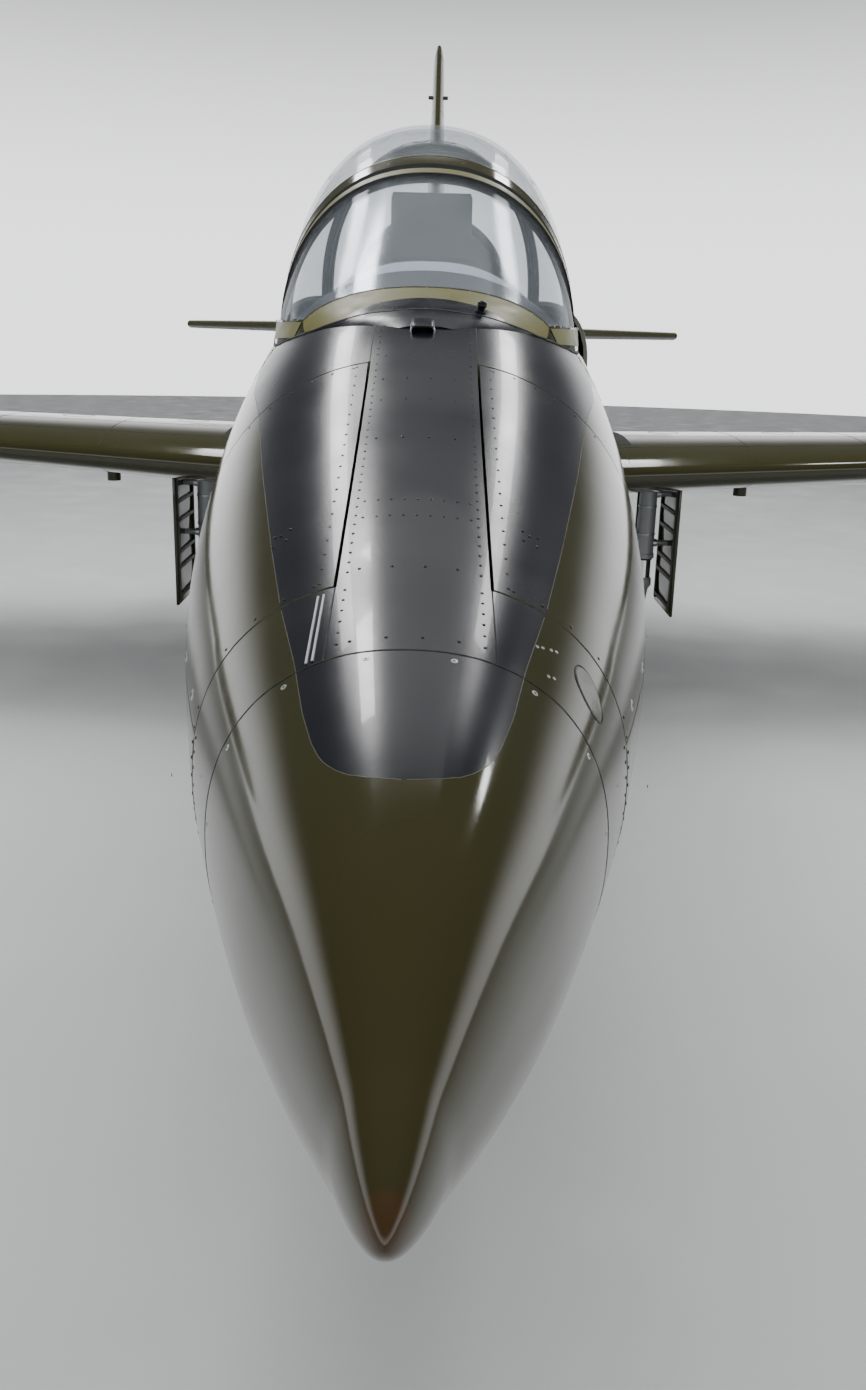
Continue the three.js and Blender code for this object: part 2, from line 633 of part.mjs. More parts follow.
// Cockpit furniture
const FLOOR = 1250;
const CONSOLE_TOP = 1640;
const REAR_SEAT_BASE = 1400;
const tubRoom = loft([tubRing(TUB.front + GAP, -GAP), tubRing(TUB.rear - GAP, -GAP)]);
const insideTub = (solid) => solid.intersect(tubRoom);
const floor = insideTub(join(
  block(-500, 500, TUB.front, TUB.rear, 1000, FLOOR),
  block(-500, -300, TUB.front, TUB.rear, 1000, CONSOLE_TOP),
  block(300, 500, TUB.front, TUB.rear, 1000, CONSOLE_TOP),
  block(-500, 500, 4380, 4480, 1000, 1950),
  block(-200, 200, 5010, 5560, 1000, REAR_SEAT_BASE),
));
add('cockpit_floor', floor, COCKPIT);

// Name, station, base height and height above the base
const SEATS = [['front', 3560, FLOOR, 1330], ['rear', 5080, REAR_SEAT_BASE, 1230]];
const SEAT = {
  half: 215, flank: 30, front: -60, rear: 420, pan: 210, flankTop: 700,
  backHalf: 175, backFoot: 150, backAt: 240, backThick: 90, tilt: 110,
  headHalf: 150, head: 240, headRear: 480,
  padHalf: 170, padThick: 56, padFoot: 240, padTop: 1040,
  cushionFront: -80, cushionRear: 200, cushionTop: 300,
};
SEATS.forEach(([name, s, base, height]) => {
  const flank = (side) => sideBlock(
    side, SEAT.half - SEAT.flank, SEAT.half, s + SEAT.front, s + SEAT.rear, base + GAP, base + SEAT.flankTop,
  );
  const slab = (half, front, rear, z) => [[-half, front], [half, front], [half, rear], [-half, rear]]
    .map(([x, y]) => at(x, s + y, base + z));
  const headFront = SEAT.backAt + SEAT.tilt;
  const back = loft([
    slab(SEAT.backHalf, SEAT.backAt, SEAT.backAt + SEAT.backThick, SEAT.backFoot),
    slab(SEAT.headHalf, headFront, headFront + SEAT.backThick, height),
  ]);
  const pan = block(
    -SEAT.half + GAP, SEAT.half - GAP, s + SEAT.front, s + SEAT.rear, base + GAP, base + SEAT.pan,
  );
  const head = block(
    -SEAT.headHalf, SEAT.headHalf, s + SEAT.backAt, s + SEAT.headRear,
    base + height - SEAT.head, base + height,
  );
  add(`${name}_seat`, join(flank(1), flank(-1), pan, back, head), DARK);
  const lean = SEAT.tilt / (height - SEAT.backFoot);
  const padAt = (z) => {
    const rear = SEAT.backAt - GAP + (z - SEAT.backFoot) * lean;
    return slab(SEAT.padHalf, rear - SEAT.padThick, rear, z);
  };
  add(`${name}_seat_cushion`, join(
    block(
      -SEAT.padHalf, SEAT.padHalf, s + SEAT.cushionFront, s + SEAT.cushionRear,
      base + SEAT.pan + GAP, base + SEAT.cushionTop,
    ),
    loft([padAt(SEAT.padFoot), padAt(Math.min(SEAT.padTop, height - SEAT.head - GAP))]),
  ), FABRIC);
});
const PANELS = [['front', 2760, 2210], ['rear', 4485, 2270]];
PANELS.forEach(([name, s, top]) => {
  const coaming = [[-330, s], [-330, s + 205], [330, s + 205], [330, s]];
  const hood = loft([
    coaming.map(([x, y]) => at(x * 0.96, y, CONSOLE_TOP + GAP)),
    coaming.map(([x, y]) => at(x * 0.96, y, top - 60)),
    coaming.map(([x, y]) => at(x * 0.6, y, top)),
  ]);
  add(`${name}_panel`, hood, DARK);
});
SEATS.forEach(([name, s]) => {
  add(`${name}_stick`, join(
    bar(at(0, s - 325, FLOOR + 30), at(0, s - 250, FLOOR + 470), 16),
    bar(at(0, s - 330, FLOOR + GAP), at(0, s - 330, FLOOR + 60), 50),
    bar(at(0, s - 250, FLOOR + 440), at(0, s - 240, FLOOR + 590), 24),
  ), DARK);
});

// Nose undercarriage
const NOSE_LEG = {
  s: 2200, z: 215, tyre: 215, width: 150, rim: 112, trail: 70, collar: 640, radius: 58, pivotZ: 1150,
  pivotRadius: 36, stemFoot: 520, stemRadius: 50, armX: 102, armZ: 557, armRadius: 24, bridgeRadius: 34,
  axleHalf: 140, axleRadius: 15,
};
const NOSE_AXLE_S = NOSE_LEG.s + NOSE_LEG.trail;
// Bar across the centreline
const crossBar = (half, s, z, radius) => bar(at(-half, s, z), at(half, s, z), radius);
add('nose_leg', join(
  bar(at(0, NOSE_LEG.s, NOSE_LEG.collar), at(0, NOSE_LEG.s, WELL.roof - GAP), NOSE_LEG.radius),
  crossBar(WELL.half - GAP, NOSE_LEG.s, NOSE_LEG.pivotZ, NOSE_LEG.pivotRadius),
), LEG);
const forkArm = (side) => bar(
  at(side * NOSE_LEG.armX, NOSE_LEG.s, NOSE_LEG.armZ),
  at(side * NOSE_LEG.armX, NOSE_AXLE_S, NOSE_LEG.z),
  NOSE_LEG.armRadius,
);
add('nose_fork', join(
  bar(at(0, NOSE_LEG.s, NOSE_LEG.collar - GAP), at(0, NOSE_LEG.s, NOSE_LEG.stemFoot), NOSE_LEG.stemRadius),
  crossBar(NOSE_LEG.armX, NOSE_LEG.s, NOSE_LEG.armZ - 2, NOSE_LEG.bridgeRadius),
  forkArm(1),
  forkArm(-1),
  crossBar(NOSE_LEG.axleHalf, NOSE_AXLE_S, NOSE_LEG.z, NOSE_LEG.axleRadius),
), LEG);
const tyreProfile = (radius, width, rim) => {
  const half = width / 2;
  const bulge = rim + 0.4 * (radius - rim);
  const shoulder = radius - 0.25 * (radius - rim);
  return [
    [rim, -half * 0.8], [bulge, -half], [shoulder, -half * 0.92], [radius, -half * 0.45],
    [radius, half * 0.45], [shoulder, half * 0.92], [bulge, half], [rim, half * 0.8], [rim, -half * 0.8],
  ];
};
const hubProfile = (rim, width, bore) => {
  const half = width / 2;
  const seat = rim - GAP;
  return [
    [bore, -half * 0.6], [rim * 0.5, -half * 0.6], [rim * 0.78, -half * 0.35], [rim - 8, -half * 0.86],
    [seat, -half * 0.86], [seat, half * 0.86], [rim - 8, half * 0.86], [rim * 0.78, half * 0.35],
    [rim * 0.5, half * 0.6], [bore, half * 0.6], [bore, -half * 0.6],
  ];
};
const wheel = (name, centre, radius, width, rim, bore) => {
  add(`${name}_tyre`, turned(tyreProfile(radius, width, rim), 32, 'x', centre), RUBBER);
  add(`${name}_wheel`, turned(hubProfile(rim, width, bore), 32, 'x', centre), HUB);
};
wheel(
  'nose', at(0, NOSE_AXLE_S, NOSE_LEG.z), NOSE_LEG.tyre, NOSE_LEG.width, NOSE_LEG.rim,
  NOSE_LEG.axleRadius + GAP,
);
const NOSE_DOOR = { thick: 14, clear: 8, foot: 640, top: 935 };
SIDES.forEach(([name, side]) => {
  add(`nose_gear_door_${name}`, sideBlock(
    side, WELL.half - GAP - NOSE_DOOR.thick, WELL.half - GAP,
    WELL.front + NOSE_DOOR.clear, WELL.rear - NOSE_DOOR.clear, NOSE_DOOR.foot, NOSE_DOOR.top,
  ), OLIVE);
});

// Main undercarriage
const MAIN = {
  legX: 1430, s: 6480, radius: 58, knee: 520, armRadius: 42, wheelX: 1275, wheelS: 6600, z: 305, tyre: 305,
  width: 185, rim: 158, axleRadius: 24, axleFrom: 40, axleTo: 60, braceFoot: 780, braceX: 900, braceTop: 1300,
  braceRadius: 26,
};
const MAIN_DOOR = {
  x: 1575, thick: 18, front: 6230, rear: 6760, foot: 360, top: 1225, stays: [800, 1120], stay: 20,
};
SIDES.forEach(([name, side]) => {
  const onLeg = (z) => at(side * MAIN.legX, MAIN.s, z);
  const axleAt = (x) => at(side * x, MAIN.wheelS, MAIN.z);
  add(`main_leg_${name}`, join(
    bar(onLeg(MAIN.knee), onLeg(GEAR_WELL.roof - GAP), MAIN.radius),
    bar(onLeg(MAIN.knee), axleAt(MAIN.legX), MAIN.armRadius),
    bar(axleAt(MAIN.legX + MAIN.axleFrom), axleAt(MAIN.wheelX - MAIN.axleTo), MAIN.axleRadius),
    bar(onLeg(MAIN.braceFoot), at(side * MAIN.braceX, MAIN.s, MAIN.braceTop), MAIN.braceRadius),
    ...MAIN_DOOR.stays.map((z) => (
      bar(onLeg(z), at(side * (MAIN_DOOR.x - GAP), MAIN.s, z), MAIN_DOOR.stay)
    )),
  ), LEG);
  wheel(`main_${name}`, axleAt(MAIN.wheelX), MAIN.tyre, MAIN.width, MAIN.rim, MAIN.axleRadius + GAP);
  add(`main_gear_door_${name}`, sideBlock(
    side, MAIN_DOOR.x, MAIN_DOOR.x + MAIN_DOOR.thick, MAIN_DOOR.front, MAIN_DOOR.rear,
    MAIN_DOOR.foot, MAIN_DOOR.top,
  ), OLIVE);
});

export default aircraft;
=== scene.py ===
import json
import math

import bmesh
import bpy
import numpy as np
from mathutils import Matrix, Vector
from mathutils.bvhtree import BVHTree

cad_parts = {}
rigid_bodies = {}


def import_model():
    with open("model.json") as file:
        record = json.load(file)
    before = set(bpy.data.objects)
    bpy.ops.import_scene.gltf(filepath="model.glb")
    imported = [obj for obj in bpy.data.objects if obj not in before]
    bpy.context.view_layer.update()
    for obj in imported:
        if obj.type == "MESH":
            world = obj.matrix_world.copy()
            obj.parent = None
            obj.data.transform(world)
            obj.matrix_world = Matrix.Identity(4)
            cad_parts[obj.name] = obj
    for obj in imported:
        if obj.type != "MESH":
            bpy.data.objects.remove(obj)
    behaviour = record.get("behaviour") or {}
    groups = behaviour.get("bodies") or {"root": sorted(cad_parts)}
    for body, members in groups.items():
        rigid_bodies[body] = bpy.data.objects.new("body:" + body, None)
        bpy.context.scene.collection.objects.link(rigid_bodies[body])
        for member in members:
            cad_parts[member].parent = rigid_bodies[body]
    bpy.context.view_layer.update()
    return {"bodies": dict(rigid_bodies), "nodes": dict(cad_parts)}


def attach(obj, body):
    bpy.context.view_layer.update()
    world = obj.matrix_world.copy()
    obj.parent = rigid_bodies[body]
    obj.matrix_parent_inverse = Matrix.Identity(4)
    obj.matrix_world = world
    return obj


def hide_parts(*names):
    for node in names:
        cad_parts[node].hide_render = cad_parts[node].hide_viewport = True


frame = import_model()
LENGTH = 12.13
TIP = -LENGTH / 2
BODY_OF = {name: empty_name for empty_name, empty in frame["bodies"].items()
           for name, node in frame["nodes"].items() if node.parent is empty}
SIDES = (("left", 1), ("right", -1))


def linked(name, data):
    """New object in the scene."""
    made = bpy.data.objects.new(name, data)
    bpy.context.scene.collection.objects.link(made)
    return made


# Camera: angles, place, and the picture's measures in pixels
PITCH, YAW, ROLL = (math.radians(a) for a in (15.41, 0.30, 1.47))
PLACE = (0.024, -6.841, 2.035)
SENSOR_MM, FOCAL_PX, PICTURE_PX, SHIFT_PX = 36, 1120, 1390, 45
ahead = Vector((math.cos(PITCH) * math.sin(YAW), math.cos(PITCH) * math.cos(YAW), -math.sin(PITCH)))
level = Vector((math.cos(YAW), -math.sin(YAW), 0))
raised = Vector((math.sin(PITCH) * math.sin(YAW), math.sin(PITCH) * math.cos(YAW), math.cos(PITCH)))
right = level * math.cos(ROLL) + raised * math.sin(ROLL)
upward = raised * math.cos(ROLL) - level * math.sin(ROLL)
camera = linked("camera", bpy.data.cameras.new("camera"))
camera.matrix_world = Matrix((
    (right.x, upward.x, -ahead.x, PLACE[0]),
    (right.y, upward.y, -ahead.y, PLACE[1]),
    (right.z, upward.z, -ahead.z, PLACE[2]),
    (0, 0, 0, 1),
))
camera.data.sensor_width = SENSOR_MM
camera.data.lens = SENSOR_MM * FOCAL_PX / PICTURE_PX
camera.data.shift_y = -SHIFT_PX / PICTURE_PX
camera.data.clip_start = 0.05
camera.data.clip_end = 200
bpy.context.scene.camera = camera

# Shapes shared with the part; the rows of each table are written in millimetres
# Body: power of its section, length and height of the rounded tip, then station, half width, top, bottom
SHAPE = 2.24
TIP_ROUND, TIP_HEIGHT = 0.12, 1.294
BODY = np.array([
    (30, 24, 1322, 1264), (120, 61, 1383, 1202), (300, 137, 1473, 1105), (500, 216, 1540, 1040),
    (755, 300, 1612, 996), (1056, 386, 1700, 958), (1600, 501, 1886, 912), (2100, 546, 2082, 900),
    (2450, 560, 2190, 895), (2900, 568, 2285, 890), (4400, 572, 2285, 900), (6050, 575, 2270, 940),
    (7200, 570, 2250, 1040), (8500, 510, 2210, 1200), (9600, 420, 2160, 1370), (10600, 335, 2120, 1470),
]) / 1000
# Glasshouse: power of its section, then station, half width, spring height, top
ARCH = 2.2
WINDSCREEN = np.array([
    (2060, 150, 1985, 2072), (2120, 235, 1985, 2100), (2200, 305, 1985, 2130), (2300, 362, 1985, 2172),
    (2450, 415, 1985, 2262), (2700, 453, 1995, 2412), (2930, 465, 2030, 2548),
]) / 1000
FRONT_CANOPY = np.array([
    (2942, 466, 2035, 2562), (3200, 472, 2150, 2700), (3600, 475, 2220, 2790), (4000, 475, 2230, 2822),
    (4380, 470, 2220, 2826),
]) / 1000
REAR_CANOPY = np.array([
    (4500, 470, 2240, 2860), (4900, 475, 2290, 2945), (5400, 471, 2250, 2905), (6040, 460, 2150, 2715),
]) / 1000
MID_ARCH = np.array([(4392, 470, 2222, 2828), (4488, 470, 2238, 2856)]) / 1000
SPINE = np.array([
    (6050, 460, 2150, 2712), (7000, 400, 2100, 2590), (8500, 270, 2080, 2440), (9900, 130, 2060, 2400),
]) / 1000
# Wing: leading edge and chord at the root, loss of chord over a span, slopes, bow and thickness
WING_LEAD, WING_CHORD, WING_ROOT, WING_END = 4.98, 2.8, 0.56, 4.36
CHORD_LOSS, TAPER_SPAN = 1400, 3840
SWEEP, DIHEDRAL, INCIDENCE = (math.tan(math.radians(a)) for a in (6.4, 2.5, 2))
WING_HEIGHT, HEIGHT_AT = 1.405, 1.5
WING_BOW, WING_THICK, TAIL_THICK = 0.056, 0.12, 0.1
# Tailplane
TAIL_LEAD, TAIL_SWEEP, TAIL_HEIGHT = 10.02, 0.179, 2.14
TAIL_CHORD, TAIL_LOSS, TAIL_SPAN = 1.42, 0.66, 2.36
# Tip tank: distance from its front and radius
TANK_X, TANK_FRONT = 4.52, 4.36
TANK = np.array([
    (0, 0), (40, 60), (150, 110), (400, 160), (750, 195), (1150, 210), (1800, 210), (2350, 185),
    (2850, 130), (3220, 60), (3350, 0),
]) / 1000
TANK_SQUARED = np.column_stack((TANK[:, 0], TANK[:, 1] ** 2))
# Fin: height, leading edge, hinge line, half thickness; its section as part of the chord and of that
FIN_ROWS = np.array([
    (2060, 9350, 11180, 112), (2480, 9590, 11250, 105), (4640, 10880, 11480, 48), (4745, 11000, 11470, 30),
]) / 1000
FIN_FOIL = np.array([(0, 0), (0.04, 0.36), (0.15, 0.68), (0.4, 1), (0.75, 0.94), (1, 0.74)])
FIN_SQUARED = np.column_stack((FIN_FOIL[:, 0], FIN_FOIL[:, 1] ** 2))


def between(rows, column, s):
    """Smooth curve through one column of a table."""
    s = np.asarray(s, float)
    t, v = rows[:, 0], rows[:, column]
    count = len(t)
    low, high = np.clip(np.arange(count) - 1, 0, None), np.clip(np.arange(count) + 1, None, count - 1)
    slope = (v[high] - v[low]) / (t[high] - t[low])
    i = np.clip(np.searchsorted(t, s) - 1, 0, count - 2)
    span = t[i + 1] - t[i]
    u = (s - t[i]) / span
    h = u * u * (3 - 2 * u)
    return (v[i] * (1 - h) + v[i + 1] * h + slope[i] * span * u * (1 - u) ** 2
            - slope[i + 1] * span * u * u * (1 - u))


def body_size(s):
    """Half width, top and bottom of the body; rounded off towards the tip."""
    s = np.asarray(s, float)
    near = np.clip(s / TIP_ROUND, 1e-6, 1) ** 0.62
    width = np.where(s < TIP_ROUND, 0.061 * near, between(BODY, 1, s))
    top = np.where(s < TIP_ROUND, TIP_HEIGHT + 0.089 * near, between(BODY, 2, s))
    bottom = np.where(s < TIP_ROUND, TIP_HEIGHT - 0.092 * near, between(BODY, 3, s))
    return width, top, bottom


def body(grow=0.0):
    """Skin of the body, grown outward; below 0 inside it."""
    def value(p):
        width, top, bottom = body_size(p[:, 1] - TIP)
        middle, half = (top + bottom) / 2, (top - bottom) / 2
        wide, high = np.abs(p[:, 0]) / (width + grow), np.abs(p[:, 2] - middle) / (half + grow)
        return wide ** SHAPE + high ** SHAPE - 1
    return value


def arch(rows, inset=0.0):
    """Skin of a glasshouse table, set inward; below 0 inside it."""
    def value(p):
        s = p[:, 1] - TIP
        width, spring = between(rows, 1, s) - inset, between(rows, 2, s)
        rise = between(rows, 3, s) - inset - spring
        over = np.clip(p[:, 2] - spring, 0, None) / rise
        return (np.abs(p[:, 0]) / width) ** ARCH + over ** ARCH - 1
    return value


def foil_half(part, thickness):
    root = np.sqrt(np.clip(part, 0, 1))
    p = np.clip(part, 0, 1)
    return 5 * thickness * (0.2969 * root - 0.126 * p - 0.3516 * p ** 2 + 0.2843 * p ** 3 - 0.1015 * p ** 4)


def wing_chord(x):
    return WING_CHORD - (np.abs(x) - WING_ROOT) * CHORD_LOSS / TAPER_SPAN


def wing_lead(x):
    return WING_LEAD + (np.abs(x) - WING_ROOT) * SWEEP


def wing_middle(x, part):
    """Height halfway between the wing's two skins, part of the way back along the chord."""
    height = WING_HEIGHT + (np.abs(x) - HEIGHT_AT) * DIHEDRAL - part * wing_chord(x) * INCIDENCE
    return height + wing_chord(x) * WING_BOW * part * (1 - part)


TANK_HEIGHT = float(wing_middle(WING_END, 0.4) - wing_chord(WING_END) * WING_BOW * 0.24)


def wing(p):
    chord = wing_chord(p[:, 0])
    part = (p[:, 1] - TIP - wing_lead(p[:, 0])) / chord
    half = chord * foil_half(part, WING_THICK)
    front = np.where(part < 0, part * (chord * 0.178) ** 2, half ** 2)
    return (p[:, 2] - wing_middle(p[:, 0], part)) ** 2 - front


def tail_chord(x):
    return TAIL_CHORD - TAIL_LOSS * np.abs(x) / TAIL_SPAN


def tail_foil(p):
    chord = tail_chord(p[:, 0])
    part = (p[:, 1] - TIP - TAIL_LEAD - np.abs(p[:, 0]) * TAIL_SWEEP) / chord
    half = chord * foil_half(part, TAIL_THICK)
    front = np.where(part < 0, part * (chord * 0.148) ** 2, half ** 2)
    return (p[:, 2] - TAIL_HEIGHT) ** 2 - front


def fin_size(z):
    """Leading edge, hinge line and half thickness of the fin at a height."""
    return (np.interp(z, FIN_ROWS[:, 0], FIN_ROWS[:, c]) for c in (1, 2, 3))


def fin_foil(p):
    lead, hinge, half = fin_size(p[:, 2])
    part = (p[:, 1] - TIP - lead) / (hinge - lead)
    return (p[:, 0] / half) ** 2 - between(FIN_SQUARED, 1, part)


def tank(p):
    along = p[:, 1] - TIP - TANK_FRONT
    return (np.abs(p[:, 0]) - TANK_X) ** 2 + (p[:, 2] - TANK_HEIGHT) ** 2 - between(TANK_SQUARED, 1, along)


def gradient(surface, p, step=2e-5):
    return np.stack([
        (surface(p + d) - surface(p - d)) / (2 * step) for d in np.eye(3) * step
    ], axis=1)


def unit(v):
    return v / (np.linalg.norm(v, axis=-1, keepdims=True) + 1e-12)


def signed_power(value, power):
    return math.copysign(abs(value) ** power, value)


def other_side(run):
    """The same run of points and normals on the other side."""
    return run[0] * (-1, 1, 1), run[1] * (-1, 1, 1)


# Materials
def tree(name):
    made = bpy.data.materials.new(name)
    made.use_nodes = True
    nodes = made.node_tree.nodes
    bsdf = nodes["Principled BSDF"]
    where = nodes.new("ShaderNodeTexCoord").outputs["Object"]
    return made, made.node_tree, bsdf, where


def noise(nt, where, scale, detail=3.0, stretch=None):
    if stretch:
        mapping = nt.nodes.new("ShaderNodeMapping")
        mapping.inputs["Scale"].default_value = stretch
        nt.links.new(where, mapping.inputs["Vector"])
        where = mapping.outputs[0]
    node = nt.nodes.new("ShaderNodeTexNoise")
    node.inputs["Scale"].default_value = scale
    node.inputs["Detail"].default_value = detail
    nt.links.new(where, node.inputs["Vector"])
    return node.outputs["Fac"]


def mixed(nt, factor, a, b):
    """Colour a where the factor is 0 and b where it is 1; either may be a socket."""
    node = nt.nodes.new("ShaderNodeMix")
    node.data_type = "RGBA"
    nt.links.new(factor, node.inputs["Factor"])
    for colour, socket in ((a, node.inputs[6]), (b, node.inputs[7])):
        if isinstance(colour, tuple):
            socket.default_value = (*colour, 1)
        else:
            nt.links.new(colour, socket)
    return node.outputs[2]


def ranged(nt, value, low, high, to_low, to_high, smooth=False):
    node = nt.nodes.new("ShaderNodeMapRange")
    node.interpolation_type = "SMOOTHSTEP" if smooth else "LINEAR"
    for key, number in (("From Min", low), ("From Max", high), ("To Min", to_low), ("To Max", to_high)):
        node.inputs[key].default_value = number
    nt.links.new(value, node.inputs["Value"])
    return node.outputs[0]


def maths(nt, operation, a, b=None):
    node = nt.nodes.new("ShaderNodeMath")
    node.operation = operation
    for value, socket in ((a, node.inputs[0]), (b, node.inputs[1])):
        if value is None:
            continue
        if isinstance(value, (int, float)):
            socket.default_value = value
        else:
            nt.links.new(value, socket)
    return node.outputs[0]


def bumped(nt, bsdf, height, strength, distance=0.001):
    node = nt.nodes.new("ShaderNodeBump")
    node.inputs["Strength"].default_value = strength
    node.inputs["Distance"].default_value = distance
    nt.links.new(height, node.inputs["Height"])
    nt.links.new(node.outputs[0], bsdf.inputs["Normal"])


def surface_of(name, colour, other, rough, metal=0.0, coat=0.0, grain=6.0, bump=0.0, fine=180.0, stretch=None,
               spread=0.08):
    """Two-tone procedural surface with uneven gloss and a fine grain."""
    made, nt, bsdf, where = tree(name)
    nt.links.new(mixed(nt, noise(nt, where, grain, 5, stretch), colour, other), bsdf.inputs["Base Color"])
    low, high = max(rough - spread, 0.02), rough + spread
    nt.links.new(ranged(nt, noise(nt, where, grain * 3, 4, stretch), 0.3, 0.7, low, high),
                 bsdf.inputs["Roughness"])
    bsdf.inputs["Metallic"].default_value = metal
    bsdf.inputs["Coat Weight"].default_value = coat
    bsdf.inputs["Coat Roughness"].default_value = 0.03
    if bump:
        bumped(nt, bsdf, noise(nt, where, fine, 2, stretch), bump)
    return made


# Half width of the black panel at each station, from its rounded front end to the windscreen
PANEL = np.array([
    (0.469, 0.0), (0.4715, 0.022), (0.477, 0.045), (0.488, 0.068), (0.506, 0.088), (0.535, 0.107),
    (0.575, 0.122), (0.65, 0.142), (0.78, 0.168), (0.96, 0.211), (1.19, 0.258), (1.3, 0.279), (1.55, 0.326),
    (1.75, 0.359), (1.92, 0.389), (2.12, 0.430), (2.31, 0.446),
])
OLIVE_DARK, OLIVE_LIGHT = (0.0220, 0.0213, 0.0070), (0.0270, 0.0260, 0.0087)


def olive_paint(name, panel=None, brown_tip=False):
    """High-gloss olive; the panel is a table of (station, half width) painted satin black on top."""
    made, nt, bsdf, where = tree(name)
    colour = mixed(nt, noise(nt, where, 1.3, 6), OLIVE_DARK, OLIVE_LIGHT)
    axes = nt.nodes.new("ShaderNodeSeparateXYZ")
    nt.links.new(where, axes.inputs[0])
    if brown_tip:
        tip = ranged(nt, axes.outputs["Y"], TIP + 0.026, TIP + 0.031, 1, 0)
        haze = ranged(nt, axes.outputs["Y"], TIP + 0.05, TIP + 0.75, 0.75, 0, True)
        colour = mixed(nt, haze, colour, (0.0285, 0.0245, 0.0082))
        colour = mixed(nt, tip, colour, (0.040, 0.023, 0.008))
    gloss = ranged(nt, noise(nt, where, 5, 4), 0.3, 0.7, 0.09, 0.16)
    if panel is not None:
        low, high = panel[0][0], panel[-1][0]
        curve = nt.nodes.new("ShaderNodeFloatCurve")
        track = curve.mapping.curves[0]
        spots = [((s - low) / (high - low), 2 * w) for s, w in panel]
        track.points[0].location, track.points[1].location = spots[0], spots[-1]
        for spot in spots[1:-1]:
            track.points.new(*spot)
        for point in track.points:
            point.handle_type = "VECTOR"
        curve.mapping.update()
        station = ranged(nt, axes.outputs["Y"], TIP + low, TIP + high, 0, 1)
        nt.links.new(station, curve.inputs["Value"])
        across = maths(nt, "MULTIPLY", maths(nt, "ABSOLUTE", axes.outputs["X"]), 2)
        inside = maths(nt, "LESS_THAN", across, curve.outputs[0])
        inside = maths(nt, "MULTIPLY", inside, maths(nt, "GREATER_THAN", axes.outputs["Z"], 1.42))
        colour = mixed(nt, inside, colour, (0.0055, 0.0065, 0.009))
        gloss = maths(nt, "ADD", gloss, maths(nt, "MULTIPLY", inside, 0.12))
    nt.links.new(colour, bsdf.inputs["Base Color"])
    nt.links.new(gloss, bsdf.inputs["Roughness"])
    bsdf.inputs["IOR"].default_value = 1.45
    bsdf.inputs["Coat Weight"].default_value = 0.15
    bsdf.inputs["Coat Roughness"].default_value = 0.04
    bumped(nt, bsdf, noise(nt, where, 90, 2), 0.05, 0.0008)
    return made


OLIVE = olive_paint("olive_gloss")
OLIVE_NOSE = olive_paint("olive_nose", PANEL, brown_tip=True)
OLIVE_SCREEN = olive_paint("olive_screen", np.array([(2.0, 0.2), (2.3, 0.185), (2.305, 0.0)]))
BLACK = surface_of("satin_black", (0.0055, 0.0065, 0.009), (0.008, 0.009, 0.012), 0.26, bump=0.05)
BLACK.node_tree.nodes["Principled BSDF"].inputs["IOR"].default_value = 1.33
PRIMER = surface_of("bay_primer", (0.030, 0.033, 0.016), (0.042, 0.046, 0.023), 0.6, bump=0.1)
GREY = surface_of("cockpit_grey", (0.105, 0.125, 0.135), (0.135, 0.155, 0.165), 0.55, bump=0.15)
PALE_GREY = surface_of("shield_grey", (0.46, 0.51, 0.57), (0.53, 0.58, 0.64), 0.6, bump=0.15)
TRIM = surface_of("dark_trim", (0.012, 0.013, 0.014), (0.022, 0.023, 0.025), 0.5, bump=0.2)
SEAL = surface_of("seal_rubber", (0.010, 0.010, 0.010), (0.018, 0.018, 0.018), 0.65, bump=0.3)
LINE = surface_of("panel_line", (0.0035, 0.0035, 0.0028), (0.006, 0.006, 0.0045), 0.6)
# Pale line colour; along the black panel's edge it is a painted highlight
EDGE = surface_of("edge_line", (0.060, 0.058, 0.040), (0.080, 0.077, 0.055), 0.35)
ALLOY = surface_of("bare_alloy", (0.55, 0.55, 0.56), (0.68, 0.68, 0.69), 0.28, metal=1, bump=0.1,
                   stretch=(1, 0.1, 1))
STEEL = surface_of("gear_steel", (0.42, 0.44, 0.46), (0.52, 0.54, 0.56), 0.35, metal=0.75, bump=0.1)
CHROME = surface_of("oleo_chrome", (0.75, 0.76, 0.78), (0.82, 0.83, 0.85), 0.1, metal=1, spread=0.03)
HUB = surface_of("wheel_hub", (0.16, 0.18, 0.13), (0.20, 0.22, 0.165), 0.42, bump=0.1)
RUBBER = surface_of("tyre_rubber", (0.011, 0.011, 0.012), (0.022, 0.021, 0.020), 0.75, bump=0.4, grain=14)
HOT = surface_of("hot_steel", (0.16, 0.12, 0.085), (0.30, 0.26, 0.22), 0.38, metal=0.9, bump=0.1, grain=3)
BURNT = surface_of("burnt_inside", (0.018, 0.016, 0.015), (0.05, 0.043, 0.038), 0.6, metal=0.5, bump=0.2)
DRAB = surface_of("drab_fabric", (0.075, 0.080, 0.042), (0.105, 0.11, 0.062), 0.85, bump=0.7, fine=900)
WEB = surface_of("webbing", (0.16, 0.15, 0.10), (0.22, 0.205, 0.14), 0.8, bump=0.8, fine=700)


